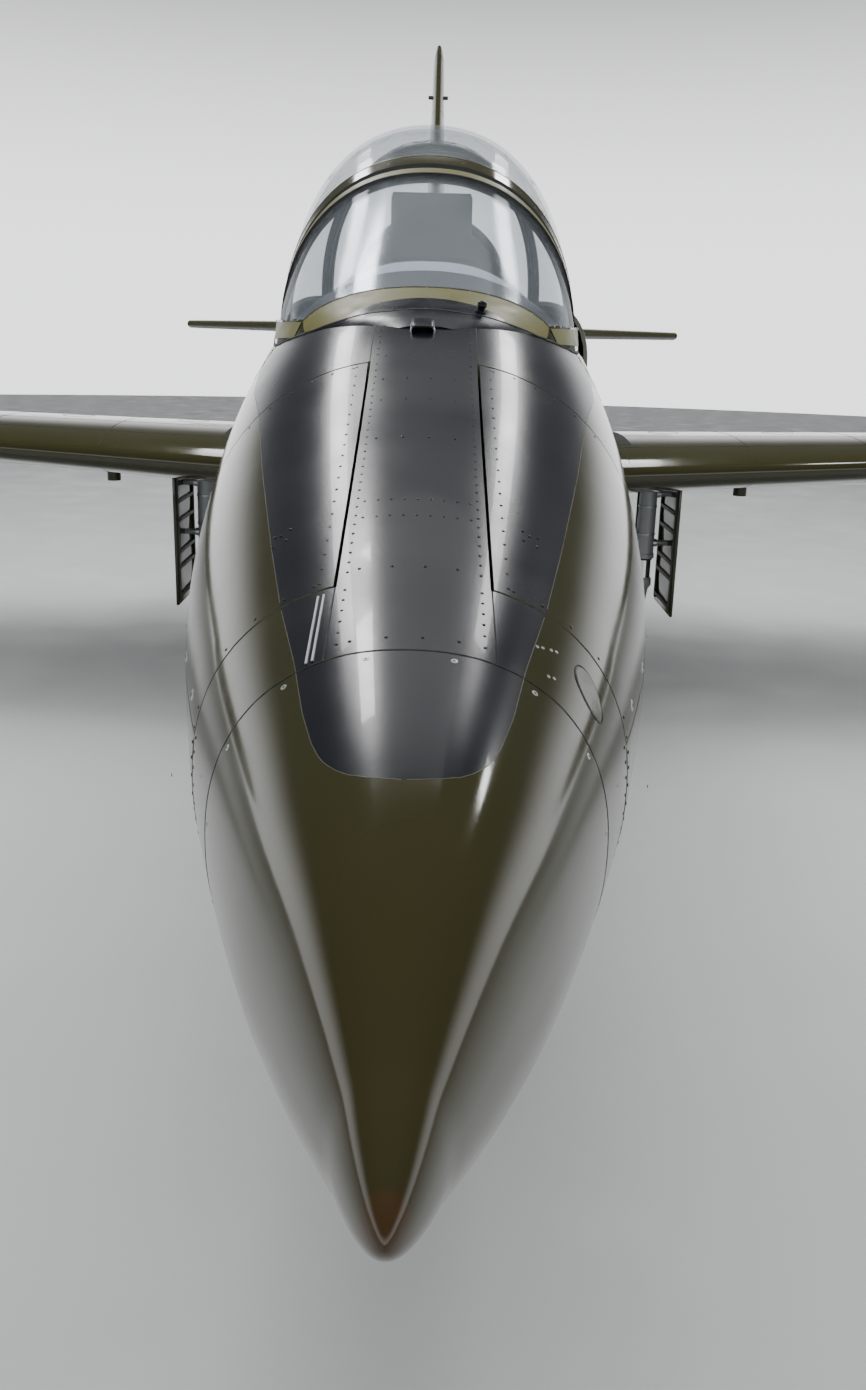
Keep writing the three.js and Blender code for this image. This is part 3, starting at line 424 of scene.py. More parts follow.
def glass(name, tint, clear=0.0):
    """Clear pane: mostly see-through face on, with a gloss that grows towards the edge."""
    made, nt, bsdf, where = tree(name)
    through = nt.nodes.new("ShaderNodeBsdfTransparent")
    mix = nt.nodes.new("ShaderNodeMixShader")
    facing = nt.nodes.new("ShaderNodeLayerWeight")
    facing.inputs["Blend"].default_value = 0.28
    haze = ranged(nt, noise(nt, where, 2.5, 4), 0.35, 0.7, clear, clear + 0.035)
    share = maths(nt, "ADD", maths(nt, "MULTIPLY", facing.outputs["Fresnel"], 0.24), haze)
    nt.links.new(mixed(nt, noise(nt, where, 2, 3), tint, tuple(t * 0.97 for t in tint)),
                 through.inputs["Color"])
    nt.links.new(mixed(nt, noise(nt, where, 3, 3), (0.55, 0.6, 0.62), (0.6, 0.65, 0.66)),
                 bsdf.inputs["Base Color"])
    nt.links.new(ranged(nt, noise(nt, where, 7, 3), 0.3, 0.7, 0.10, 0.17), bsdf.inputs["Roughness"])
    bsdf.inputs["Metallic"].default_value = 0.6
    nt.links.new(share, mix.inputs[0])
    nt.links.new(through.outputs[0], mix.inputs[1])
    nt.links.new(bsdf.outputs[0], mix.inputs[2])
    nt.links.new(mix.outputs[0], nt.nodes["Material Output"].inputs["Surface"])
    return made


GLASS = glass("clear_acrylic", (0.945, 0.955, 0.965), 0.012)
SCREEN = glass("windscreen_glass", (0.895, 0.91, 0.94), 0.02)


# Mesh helpers: a part is (vertices, faces)
def moved(part, matrix):
    return [tuple(matrix @ Vector(v)) for v in part[0]], part[1]


def joined(parts):
    verts, faces = [], []
    for v, f in parts:
        base = len(verts)
        verts.extend(tuple(map(float, q)) for q in v)
        faces.extend(tuple(i + base for i in q) for q in f)
    return verts, faces


def bevelled(made, width, harden=False):
    rounding = made.modifiers.new("bevel", "BEVEL")
    rounding.width, rounding.segments = width, 2
    rounding.limit_method, rounding.angle_limit = "ANGLE", math.radians(35)
    rounding.harden_normals = harden


def make(name, on, parts, bevel=0.0, angle=32.0, replaces=()):
    """One mesh object out of [(part, material), ...], riding on a body."""
    materials = []
    verts, faces, index = [], [], []
    for (v, f), material in parts:
        if material not in materials:
            materials.append(material)
        base = len(verts)
        verts.extend(tuple(map(float, q)) for q in v)
        faces.extend(tuple(i + base for i in q) for q in f)
        index.extend([materials.index(material)] * len(f))
    mesh = bpy.data.meshes.new(name)
    mesh.from_pydata(verts, [], faces)
    mesh.polygons.foreach_set("material_index", index)
    mesh.update()
    for material in materials:
        mesh.materials.append(material)
    mesh.shade_smooth()
    mesh.set_sharp_from_angle(angle=math.radians(angle))
    made = linked(name, mesh)
    if bevel:
        bevelled(made, bevel, True)
    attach(made, on)
    if replaces:
        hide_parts(*replaces)


def loft(rings, closed=True, caps=True):
    rings = [[tuple(map(float, p)) for p in ring] for ring in rings]
    count = len(rings[0])
    verts = [p for ring in rings for p in ring]
    faces = []
    for k in range(len(rings) - 1):
        for i in range(count if closed else count - 1):
            j = (i + 1) % count
            faces.append((k * count + i, k * count + j, (k + 1) * count + j, (k + 1) * count + i))
    if caps and closed:
        faces.append(tuple(reversed(range(count))))
        faces.append(tuple(range((len(rings) - 1) * count, len(rings) * count)))
    return verts, faces


def block(x, y, z):
    (x0, x1), (y0, y1), (z0, z1) = x, y, z
    ring = [(x0, y0), (x1, y0), (x1, y1), (x0, y1)]
    return loft([[(a, b, z0) for a, b in ring], [(a, b, z1) for a, b in ring]])


def turned(profile, centre, axis=(0, 1, 0), sides=48):
    """Profile of (radius, distance along the axis), open or closed on the axis."""
    turn = Vector((0, 1, 0)).rotation_difference(Vector(axis).normalized()).to_matrix()
    rings = []
    for r, d in profile:
        ring = []
        for i in range(sides):
            a = 2 * math.pi * i / sides
            ring.append(Vector(centre) + turn @ Vector((r * math.cos(a), d, r * math.sin(a))))
        rings.append(ring)
    verts, faces = loft(rings, caps=False)
    return verts, [tuple(reversed(f)) for f in faces]


def tube(points, radius, sides=14):
    """Round bar along a run of points; radius is a number or one for each point."""
    points = [Vector(p) for p in points]
    radii = radius if isinstance(radius, (list, tuple)) else [radius] * len(points)
    rings, side = [], None
    for i, p in enumerate(points):
        along = (points[min(i + 1, len(points) - 1)] - points[max(i - 1, 0)]).normalized()
        if side is None:
            side = along.orthogonal().normalized()
        side = (side - along * side.dot(along)).normalized()
        other = along.cross(side)
        turns = [2 * math.pi * k / sides for k in range(sides)]
        rings.append([p + (side * math.cos(a) + other * math.sin(a)) * radii[i] for a in turns])
    return loft(rings)


def curve(points, steps=8):
    """Smooth run of points through a few given ones."""
    given = [Vector(p) for p in points]
    given = [given[0] * 2 - given[1], *given, given[-1] * 2 - given[-2]]
    made = []
    for i in range(1, len(given) - 2):
        a, b, c, d = given[i - 1:i + 3]
        for k in range(steps):
            t = k / steps
            made.append(0.5 * ((2 * b) + (c - a) * t + (2 * a - 5 * b + 4 * c - d) * t ** 2
                               + (3 * b - a - 3 * c + d) * t ** 3))
    return [*made, given[-2]]


def ribbon(points, normals, width, lift):
    """Thin strip lying on a surface along a run of points."""
    points, normals = np.asarray(points, float), np.asarray(normals, float)
    side = np.cross(np.gradient(points, axis=0), normals)
    side /= np.linalg.norm(side, axis=1)[:, None] + 1e-12
    half = width / 2
    rings = [
        points - side * half - normals * 0.0002,
        points - side * (half - 0.0002) + normals * lift,
        points + side * (half - 0.0002) + normals * lift,
        points + side * half - normals * 0.0002,
    ]
    count = len(points)
    verts = [tuple(p) for ring in rings for p in ring]
    faces = []
    for k in range(3):
        for i in range(count - 1):
            faces.append((k * count + i, (k + 1) * count + i, (k + 1) * count + i + 1, k * count + i + 1))
    return verts, faces


def domes(points, normals, radius, height, sides=8):
    """Row of low round heads, such as rivets."""
    verts, faces = [], []
    for p, n in zip(points, normals):
        p, n = Vector(p), Vector(n)
        a = n.orthogonal().normalized()
        b = n.cross(a)
        base = len(verts)
        for r, h in ((1, -0.0003), (0.94, 0.55 * height), (0.6, height)):
            for k in range(sides):
                t = 2 * math.pi * k / sides
                verts.append(tuple(p + (a * math.cos(t) + b * math.sin(t)) * radius * r + n * h))
        for ring in range(2):
            for k in range(sides):
                j = (k + 1) % sides
                row = base + ring * sides
                faces.append((row + k, row + j, row + sides + j, row + sides + k))
        faces.append(tuple(base + 2 * sides + k for k in range(sides)))
    return verts, faces


def refined(node, surfaces, longest, skin, inside, bevel=0.0, facing_least=0.8, crease=32):
    """Fine copy of a CAD node. Faces that lie on a given surface are drawn onto it, with its normals.

    Each surface is (function, 1 for outward or -1 for inward, how far off a coarse face may lie).
    """
    source = frame["nodes"][node]
    fine = bmesh.new()
    fine.from_mesh(source.data)
    bmesh.ops.remove_doubles(fine, verts=fine.verts, dist=2e-5)
    for _ in range(10):
        edges = [e for e in fine.edges if e.calc_length() > longest]
        if not edges:
            break
        bmesh.ops.subdivide_edges(fine, edges=edges, cuts=1)
        bmesh.ops.triangulate(fine, faces=[f for f in fine.faces if len(f.verts) > 3])
    bmesh.ops.triangulate(fine, faces=fine.faces[:])
    mesh = bpy.data.meshes.new(node + "_skin")
    fine.to_mesh(mesh)
    fine.free()
    mesh.shade_smooth()
    mesh.set_sharp_from_angle(angle=math.radians(crease))
    normals = np.empty(len(mesh.loops) * 3)
    mesh.corner_normals.foreach_get("vector", normals)
    normals = normals.reshape(-1, 3, 3)
    spots = np.empty(len(mesh.vertices) * 3)
    mesh.vertices.foreach_get("co", spots)
    spots = spots.reshape(-1, 3)
    corners = np.empty(len(mesh.loops), int)
    mesh.loops.foreach_get("vertex_index", corners)
    corners = corners.reshape(-1, 3)
    a, b, c = (spots[corners[:, k]] for k in range(3))
    facing = np.cross(b - a, c - a)
    facing /= np.linalg.norm(facing, axis=1)[:, None] + 1e-20
    centre = (a + b + c) / 3
    which = np.full(len(corners), -1)
    for k, (surface, aim, off) in enumerate(surfaces):
        slope = gradient(surface, centre)
        steep = np.linalg.norm(slope, axis=1) + 1e-12
        away = np.abs(surface(centre)) / steep
        turned_to = (facing * slope).sum(1) / steep * aim
        which[(away < off) & (turned_to > facing_least) & (which < 0)] = k
    for k, (surface, _, off) in enumerate(surfaces):
        touched = np.unique(corners[which == k])
        for _ in range(3):
            slope = gradient(surface, spots[touched])
            steep = (slope ** 2).sum(1) + 1e-12
            shift = -slope * (surface(spots[touched]) / steep)[:, None]
            shift *= np.minimum(1, off / (np.linalg.norm(shift, axis=1) + 1e-12))[:, None]
            spots[touched] += shift
    mesh.vertices.foreach_set("co", spots.ravel())
    mesh.update()
    mesh.materials.append(skin)
    mesh.materials.append(inside)
    outward = np.array([not surfaces or (k >= 0 and surfaces[k][1] > 0) for k in which])
    mesh.polygons.foreach_set("material_index", np.where(outward, 0, 1).astype(np.int32))
    if surfaces:
        for k, (surface, aim, _) in enumerate(surfaces):
            rows = which == k
            slope = gradient(surface, spots[corners[rows].ravel()])
            slope /= np.linalg.norm(slope, axis=1)[:, None] + 1e-12
            normals[rows] = slope.reshape(-1, 3, 3) * aim
        mesh.normals_split_custom_set(normals.reshape(-1, 3))
    made = linked(node + "_skin", mesh)
    if bevel:
        bevelled(made, bevel)
    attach(made, BODY_OF[node])
    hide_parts(node)


# Skins: how far a coarse face may lie off its surface, and the longest edge where nothing is drawn finer
NEAR, PLAIN_EDGE = 0.006, 0.4
# Block between the elevators: half width and front; heights between which the fin is drawn finer
BLOCK_HALF, BLOCK_FRONT = 0.2, 10.65
FIN_LOW, FIN_HIGH = 2.55, 4.45


def outer_tail(p):
    """The tailplane's section, apart from the short block between its elevators."""
    outside = (np.abs(p[:, 0]) > BLOCK_HALF) | (p[:, 1] < TIP + BLOCK_FRONT)
    return np.where(outside, tail_foil(p), 1.0)


def upper_fin(p):
    """The fin's section, apart from its foot and its top."""
    return np.where((p[:, 2] > FIN_LOW) & (p[:, 2] < FIN_HIGH), fin_foil(p), 1.0)


refined("nose_section", [(body(), 1, NEAR)], 0.055, OLIVE_NOSE, PRIMER)
refined("cockpit_section", [(body(), 1, NEAR)], 0.09, OLIVE_NOSE, GREY)
refined("rear_fuselage", [(body(), 1, NEAR), (arch(SPINE), 1, NEAR)], 0.09, OLIVE, PRIMER)
for name, _ in SIDES:
    refined(f"bay_door_{name}", [(body(), 1, NEAR), (body(-0.014), -1, NEAR)], 0.045, OLIVE_NOSE, PRIMER)
    refined(f"air_brake_{name}", [(body(), 1, NEAR), (body(-0.02), -1, NEAR)], 0.07, OLIVE, PRIMER)
    refined(f"wing_{name}", [(wing, 1, NEAR)], 0.095, OLIVE, OLIVE, 0, 0.5, 14)
    refined(f"tip_tank_{name}", [(tank, 1, 0.008)], 0.05, OLIVE, OLIVE)
    refined(f"flap_{name}", [(wing, 1, NEAR)], 0.07, OLIVE, OLIVE)
    refined(f"aileron_{name}", [(wing, 1, NEAR)], 0.07, OLIVE, OLIVE)
    refined(f"elevator_{name}", [(tail_foil, 1, NEAR)], 0.07, OLIVE, OLIVE)
    refined(f"intake_{name}", [], PLAIN_EDGE, OLIVE, OLIVE)
refined("tailplane", [(outer_tail, 1, NEAR)], 0.12, OLIVE, OLIVE, 0, 0.5, 14)
refined("fin", [(upper_fin, 1, 0.012)], 0.08, OLIVE, OLIVE, 0, 0.5, 14)
refined("rudder", [], PLAIN_EDGE, OLIVE, OLIVE)
for node, rows, skin in (
    ("windscreen_frame", WINDSCREEN, OLIVE_SCREEN), ("front_canopy_frame", FRONT_CANOPY, OLIVE),
    ("rear_canopy_frame", REAR_CANOPY, OLIVE), ("mid_arch", MID_ARCH, OLIVE),
):
    inner = 0.036 if node == "mid_arch" else 0.028
    refined(node, [(arch(rows), 1, NEAR), (arch(rows, inner), -1, NEAR)], 0.035, skin, TRIM)
for node, rows, pane in (
    ("windscreen_glass", WINDSCREEN, SCREEN), ("front_canopy_glass", FRONT_CANOPY, GLASS),
    ("rear_canopy_glass", REAR_CANOPY, GLASS),
):
    refined(node, [(arch(rows, 0.008), 1, NEAR), (arch(rows, 0.02), -1, NEAR)], 0.035, pane, pane)

# Nose cone, turned up finely from the same sections
stations = [0.0006 * k * k for k in range(0, 16)] + list(np.linspace(0.15, 0.7535, 50))
cone = []
for s in stations:
    width, top, bottom = (float(v) for v in body_size(max(s, 2e-5)))
    ring = []
    for i in range(128):
        t = -2 * math.pi * i / 128
        x = width * signed_power(math.cos(t), 2 / SHAPE)
        z = (top + bottom) / 2 + (top - bottom) / 2 * signed_power(math.sin(t), 2 / SHAPE)
        ring.append((x, TIP + s, z))
    cone.append(ring)
back = [[(x * 0.96, y, (z - TIP_HEIGHT) * 0.96 + TIP_HEIGHT) for x, y, z in cone[-1]]]
make("nose_cone_skin", "airframe", [(loft([*cone, *back], caps=True), OLIVE_NOSE)], replaces=("nose_cone",),
     angle=40)

# Marks on the skin
MARKS = {}


def matched(a, b):
    """Two values, numbers or arrays, as arrays of one length."""
    return np.broadcast_arrays(np.atleast_1d(np.asarray(a, float)), np.asarray(b, float))


def on_body(s, angle):
    """Points and normals of the body's skin, at angles from the port side up over the top."""
    s, angle = matched(s, angle)
    width, top, bottom = body_size(s)
    c, q = np.cos(angle), np.sin(angle)
    p = np.column_stack((
        width * np.sign(c) * np.abs(c) ** (2 / SHAPE), TIP + s,
        (top + bottom) / 2 + (top - bottom) / 2 * np.sign(q) * np.abs(q) ** (2 / SHAPE),
    ))
    return p, unit(gradient(body(), p))


def on_top(x, s):
    """Points of the body's upper skin above given places, with normals."""
    x, s = matched(x, s)
    width, top, bottom = body_size(s)
    share = np.clip(1 - np.abs(x / width) ** SHAPE, 0, 1) ** (1 / SHAPE)
    p = np.column_stack((x, TIP + s, (top + bottom) / 2 + (top - bottom) / 2 * share))
    return p, unit(gradient(body(), p))


def on_arch(rows, s, angle):
    s, angle = matched(s, angle)
    width, spring = between(rows, 1, s), between(rows, 2, s)
    rise = between(rows, 3, s) - spring
    c, q = np.cos(angle), np.clip(np.sin(angle), 0, 1)
    p = np.column_stack((width * np.sign(c) * np.abs(c) ** (2 / ARCH), TIP + s,
                         spring + rise * q ** (2 / ARCH)))
    return p, unit(gradient(arch(rows), p))


def over_arch(rows, s, foot, count=48):
    """Run over a glasshouse section from its port foot to its starboard foot."""
    p, n = on_arch(rows, s, np.linspace(0.03, math.pi - 0.03, count))
    low = [np.array([(p[0, 0], p[0, 1], z)]) for z in np.linspace(foot, p[0, 2] - 0.01, 5)]
    rise = np.concatenate(low)
    fall = rise[::-1] * (-1, 1, 1)
    side = np.tile((1.0, 0.0, 0.0), (5, 1))
    return np.concatenate((rise, p, fall)), np.concatenate((side, n, -side))


def on_wing(side, x, part, up):
    x, part = matched(x, part)
    half = wing_chord(x) * foil_half(part, WING_THICK)
    p = np.column_stack((side * x, TIP + wing_lead(x) + part * wing_chord(x),
                         wing_middle(x, part) + up * half))
    return p, unit(gradient(wing, p))


def on_tail(side, x, part, up):
    x, part = matched(x, part)
    half = tail_chord(x) * foil_half(part, TAIL_THICK)
    y = TIP + TAIL_LEAD + x * TAIL_SWEEP + part * tail_chord(x)
    p = np.column_stack((side * x, y, TAIL_HEIGHT + up * half))
    return p, unit(gradient(tail_foil, p))


def on_fin(side, z, part):
    z, part = matched(z, part)
    lead, hinge, half = fin_size(z)
    x = side * half * np.sqrt(np.clip(between(FIN_SQUARED, 1, part), 1e-6, None))
    p = np.column_stack((x, TIP + lead + part * (hinge - lead), z))
    return p, unit(gradient(fin_foil, p))


# Openings in the body's skin and the piece in each: limits of station, distance out and height
BAY, BAY_DOOR = ((0.96, 1.88), (0.122, 1), (1.4, 2)), ((0.967, 1.873), (0.129, 1), (1.407, 2))
WELL, AIR_BRAKE = ((6.293, 7.127), (0.018, 0.377), (0, 1.3)), ((6.302, 7.118), (0.027, 0.368), (0, 1.3))


def within(place, limits):
    return all(low < value < high for value, (low, high) in zip(place, limits))


def carrier(p):
    """The piece that carries a point of the body's skin, or None over a gap."""
    side = "left" if p[0] > 0 else "right"
    place = p[1] - TIP, abs(p[0]), p[2]
    if within(place, BAY):
        return f"bay_door_{side}" if within(place, BAY_DOOR) else None
    if within(place, WELL):
        return f"air_brake_{side}" if within(place, AIR_BRAKE) else None
    return "airframe"


def strip(run, width=0.0026, lift=0.0005, material=None):
    """Line along the skin, cut where the piece that carries it changes."""
    points, normals = run
    held = [carrier(p) for p in points]
    first = 0
    for i in range(1, len(points) + 1):
        if i < len(points) and held[i] == held[first]:
            continue
        if held[first] and i - first > 1:
            part = ribbon(points[first:i], normals[first:i], width, lift)
            MARKS.setdefault(held[first], []).append((part, material or LINE))
        first = i


def heads(run, radius=0.0034, height=0.0012, material=None, sides=8):
    """Row of rivet or screw heads on the skin."""
    points, normals = run
    for body_name in {carrier(p) for p in points} - {None}:
        rows = [i for i, p in enumerate(points) if carrier(p) == body_name]
        part = domes(points[rows], normals[rows], radius, height, sides)
        MARKS.setdefault(body_name, []).append((part, material or OLIVE))


def spread(low, high, step):
    return np.linspace(low, high, max(2, int(round(abs(high - low) / step)) + 1))


# Joint rings of the body: station, lowest and highest angle drawn on the port side
for s, low, high in (
    (0.7563, -90, 90), (0.9615, -90, 12), (1.878, -90, 12), (2.451, -90, 50), (3.3, -90, 17), (4.15, -90, 17),
    (5.0, -90, -28), (6.051, -90, 16), (7.9, -90, -40), (8.5, -90, 60), (9.1, -90, 62), (9.6, -90, 66),
    (10.1, -90, 70),
):
    run = on_body(s, np.radians(spread(low, high, 1.5)))
    strip(run)
    strip(other_side(run))
    if s > 0.8:
        for offset in (-0.018, 0.018):
            beside = on_body(s + offset, np.radians(spread(low, high, 4.0)))
            heads(beside)
            heads(other_side(beside))
# Seams along the body: angle and stations
for angle, low, high in (
    (-8, 2.45, 4.95), (-52, 2.45, 9.6), (-70, 2.45, 6.2), (12, 8.4, 10.55), (-25, 7.9, 10.55),
    (50, 8.6, 10.0),
):
    run = on_body(spread(low, high, 0.06), math.radians(angle))
    strip(run)
    strip(other_side(run))
# Fasteners round the joint of the nose cone, evenly spaced from the top centre
fine = np.radians(np.linspace(90, -88, 900))
section = on_body(0.737, fine)[0]
length = np.concatenate(((0,), np.cumsum(np.linalg.norm(np.diff(section, axis=0), axis=1))))
picked = np.interp(np.arange(0.0625, length[-1], 0.125), length, fine)
for angles in (picked, math.pi - picked):
    run = on_body(0.737, angles)
    heads(run, 0.0052, 0.0006, STEEL, 16)
    heads((run[0] + run[1] * 0.0006, run[1]), 0.0022, 0.0005, TRIM, 8)
# Centre strip between the bay doors
for side in (1, -1):
    for low, high in ((0.757, 0.96), (1.88, 2.12)):
        s = spread(low, high, 0.02)
        strip(on_top(side * 0.1245, s))
    for low, high in ((0.79, 0.945), (1.0, 1.86), (1.91, 2.05)):
        heads(on_top(side * 0.108, spread(low, high, 0.032)), 0.0028, 0.0009, BLACK)
    heads(on_top(side * 0.152, spread(0.985, 1.86, 0.045)), 0.0030, 0.0010, BLACK)
    for s in (0.982, 1.858):
        heads(on_top(side * spread(0.16, 0.40, 0.045), s), 0.0032, 0.0010, BLACK)
for s in (1.18, 1.24):
    heads(on_top(spread(-0.095, 0.095, 0.024), s), 0.0028, 0.0009, BLACK)
for s in (0.79, 1.005, 1.50, 1.68, 1.78, 1.90):
    heads(on_top(spread(-0.089, 0.070, 0.053), s), 0.0030, 0.0010, BLACK)
for x, s in ((-0.243, 1.195), (0.20, 1.175)):
    for dx, ds in ((-0.012, -0.012), (0.012, -0.012), (0, 0.012), (-0.012, 0.02), (0.016, 0.02)):
        heads(on_top(x + dx, s + ds), 0.0032, 0.0012, BLACK)
# Latches along the lower edges of the bay doors
for side in (1, -1):
    for s in (1.08, 1.32, 1.56, 1.80):
        width, top, bottom = (float(v) for v in body_size(s))
        lift = (1.432 - (top + bottom) / 2) / ((top - bottom) / 2)
        angle = math.asin(signed_power(lift, SHAPE / 2))
        run = on_body(np.array([s]), np.array([angle if side > 0 else math.pi - angle]))
        heads(run, 0.011, 0.0016, STEEL, 18)
        heads((run[0] + run[1] * 0.0014, run[1]), 0.0045, 0.0012, TRIM, 6)
# Fine light line along the edge of the black panel: a painted highlight where light catches the paint's edge
edge_s = np.concatenate((spread(PANEL[0][0] + 0.0004, 0.5, 0.0015), spread(0.502, 2.06, 0.014)))
edge_x = np.interp(edge_s, PANEL[:, 0], PANEL[:, 1])
for side in (1, -1):
    strip(on_top(side * edge_x, edge_s), 0.0013, 0.0003, EDGE)
# Bright twin strip beside the centre strip, ahead of the starboard bay door
TWIN = surface_of("twin_strip", (0.34, 0.35, 0.36), (0.42, 0.43, 0.44), 0.3)
for x in (-0.1405, -0.1495):
    strip(on_top(x, spread(0.765, 0.945, 0.03)), 0.0034, 0.0016, TWIN)
for x, s in ((0.190, 0.856), (0.203, 0.800), (0.213, 0.872)):
    heads(on_top(x + np.array((0.0, 0.009)), s + np.array((0.0, 0.006))), 0.0032, 0.0012, STEEL)
# Oval cover plate on the port side
around = np.linspace(0, 2 * math.pi, 41)
COVER = surface_of("cover_plate", (0.075, 0.075, 0.060), (0.095, 0.095, 0.078), 0.3)
rings = []
for share, lift in ((1.0, -0.0003), (0.97, 0.0012), (0.5, 0.0013), (0.02, 0.0013)):
    p, n = on_top(0.274 + 0.021 * share * np.cos(around[:-1]), 0.868 + 0.036 * share * np.sin(around[:-1]))
    rings.append(p + n * lift)
MARKS["airframe"].append((loft(rings, caps=False), COVER))
strip(on_top(0.274 + 0.023 * np.cos(around), 0.868 + 0.038 * np.sin(around)), 0.0022, 0.0006)
# Air scoop ahead of the windscreen: a low hood, open to the front
spot, out = (v[0] for v in on_top(-0.006, 2.054))
across = unit(np.array((1.0, 0, 0)) - out * out[0])
back = np.cross(out, across)


def hood_ring(along, half, high, inset=0.0):
    ring = []
    for i in range(25):
        angle = math.pi * i / 24
        a = (half - inset) * signed_power(math.cos(angle), 0.5)
        b = (high - inset) * abs(math.sin(angle)) ** 0.5 - 0.003
        ring.append(spot + across * a + back * along + out * b)
    return ring


hood = [hood_ring(-0.030, 0.0300, 0.0215), hood_ring(-0.032, 0.0305, 0.0225),
        hood_ring(-0.034, 0.0300, 0.0220, 0.001),
        hood_ring(-0.033, 0.0300, 0.0215, 0.0035), hood_ring(0.0, 0.0300, 0.0200, 0.005)]
cowl = [hood_ring(d, w, h) for d, w, h in (
    (-0.030, 0.0300, 0.0215), (0.0, 0.0305, 0.0215), (0.030, 0.0280, 0.0165), (0.055, 0.0215, 0.0085),
    (0.070, 0.0130, 0.0030),
)]
lip, throat = loft(hood[:4], closed=False, caps=False), loft(hood[3:], closed=False, caps=False)
# The duct ends 30 mm in at a near-black cap: painted shade standing for the duct's dark depth
shade_plug = ([tuple(p) for p in hood[-1]], [tuple(range(25))])
MARKS["airframe"].extend([
    (loft(cowl, closed=False, caps=False), BLACK), (lip, ALLOY), (throat, TRIM), (shade_plug, SEAL),
])
for body_name, parts in MARKS.items():
    make(f"skin_marks_{body_name}", body_name, parts, angle=50)

# Glasshouse trim
BAND = surface_of("band_olive", (0.094, 0.090, 0.022), (0.112, 0.107, 0.030), 0.46)
YELLOW = surface_of("handle_yellow", (0.55, 0.36, 0.02), (0.62, 0.42, 0.03), 0.45)
WHITE = surface_of("dial_white", (0.62, 0.62, 0.58), (0.70, 0.70, 0.66), 0.5)
RED = surface_of("lever_red", (0.35, 0.015, 0.012), (0.42, 0.022, 0.018), 0.4)


def hoop(rows, s, foot, width, lift, material):
    return ribbon(*over_arch(rows, s, foot), width, lift), material


def seam_of(s):
    """Distance from the centre at which the windscreen meets the body at a station."""
    low, high = 0.0, float(between(WINDSCREEN, 1, s))
    test = arch(WINDSCREEN)
    for _ in range(30):
        x = (low + high) / 2
        p = on_top(x, s)[0]
        low, high = (x, high) if test(p)[0] < 0 else (low, x)
    return x


def arch_angle(rows, x, s):
    return np.arccos(np.sign(x) * np.clip(np.abs(x / between(rows, 1, s)), 0, 1) ** (ARCH / 2))


def seam_station(x):
    """Station at which the windscreen rises out of the body at a distance x from the centre."""
    low, high = 2.062, 2.6
    for _ in range(30):
        s = (low + high) / 2
        if abs(x) >= float(between(WINDSCREEN, 1, s)):
            low = s
            continue
        p = on_arch(WINDSCREEN, s, arch_angle(WINDSCREEN, np.array([x]), s))[0]
        low, high = (low, s) if p[0, 2] > on_top(x, s)[0][0, 2] else (s, high)
    return (low + high) / 2


# Foot of the windscreen between the body and the glass: a black crescent, then an olive band
CORNER = 0.322
foot_line, glass_line = [], []
for u in np.linspace(-1, 1, 121):
    x = CORNER * u * 0.97
    foot_line.append((x, seam_station(x)))
    glass_line.append((CORNER * u, 2.2985))
foot_line, glass_line = np.array(foot_line), np.array(glass_line)
foot_angle = arch_angle(WINDSCREEN, foot_line[:, 0], foot_line[:, 1])
glass_angle = arch_angle(WINDSCREEN, glass_line[:, 0], glass_line[:, 1])


def screen_row(share):
    """Run across the windscreen's foot, 0 at the body and 1 at the glass, for each place across."""
    s = foot_line[:, 1] + (glass_line[:, 1] - foot_line[:, 1]) * share
    angle = foot_angle + (glass_angle - foot_angle) * share
    p, n = on_arch(WINDSCREEN, s, angle)
    return p + n * 0.0016, n


off_centre = np.abs(foot_line[:, 0])
joint_share = 0.36 * np.clip(1 - (off_centre / 0.29) ** 2, 0, 1)
black_share = joint_share + 0.33 * np.clip(1 - (off_centre / 0.19) ** 2, 0, 1) ** 0.7
trim = []
for low, high, material in (
    (np.full(121, -0.03), joint_share, BLACK), (joint_share, black_share, BLACK),
    (black_share, np.ones(121), BAND),
):
    rows = [screen_row(low + (high - low) * k / 6)[0] for k in range(7)]
    trim.append((loft(rows, closed=False, caps=False), material))
joint_run = screen_row(joint_share)
trim.append((ribbon(joint_run[0], joint_run[1], 0.0045, 0.0009), SEAL))
glass_run = screen_row(np.full(121, 0.985))
trim.append((ribbon(glass_run[0], glass_run[1], 0.0035, 0.0012), SEAL))
for side in (1, -1):
    s = spread(2.236, 2.59, 0.016)
    x = np.array([seam_of(v) for v in s])
    run = on_top(side * x, s)
    trim.append((ribbon(run[0], run[1], 0.012, 0.0022), SEAL))
    s = spread(2.29, 2.90, 0.02)
    width, spring = between(WINDSCREEN, 1, s), between(WINDSCREEN, 2, s)
    rise = between(WINDSCREEN, 3, s) - spring
    share = np.clip((2.054 - spring) / rise, 0, 1)
    run = on_arch(WINDSCREEN, s, np.where(side > 0, np.arcsin(share ** (ARCH / 2)),
                                          math.pi - np.arcsin(share ** (ARCH / 2))))
    trim.append((ribbon(run[0], run[1], 0.046, 0.0012), BAND))
    for row in (0.026, -0.004):
        spots = run[0][::2] + (0, 0, row)
        trim.append((domes(spots, run[1][::2], 0.0026, 0.0014), STEEL))
run = on_arch(WINDSCREEN, 2.2905, np.linspace(math.radians(33), math.radians(147), 15))
trim.append((domes(run[0] + run[1] * 0.0016, run[1], 0.0018, 0.0010), STEEL))
trim.append(hoop(WINDSCREEN, 2.9135, 2.03, 0.030, 0.0012, BAND))
trim.append(hoop(WINDSCREEN, 2.8965, 2.06, 0.006, 0.0020, SEAL))
spot = on_arch(WINDSCREEN, 2.177, arch_angle(WINDSCREEN, np.array([0.137]), 2.177))
trim.append((turned([(0.015, -0.004), (0.0155, 0.004), (0.010, 0.006), (0.0095, 0.013), (0.0125, 0.017),
                     (0.0115, 0.024), (0.006, 0.028), (0.0001, 0.029)], spot[0][0], spot[1][0], 24), BLACK))
make("windscreen_trim", "airframe", trim, angle=50)
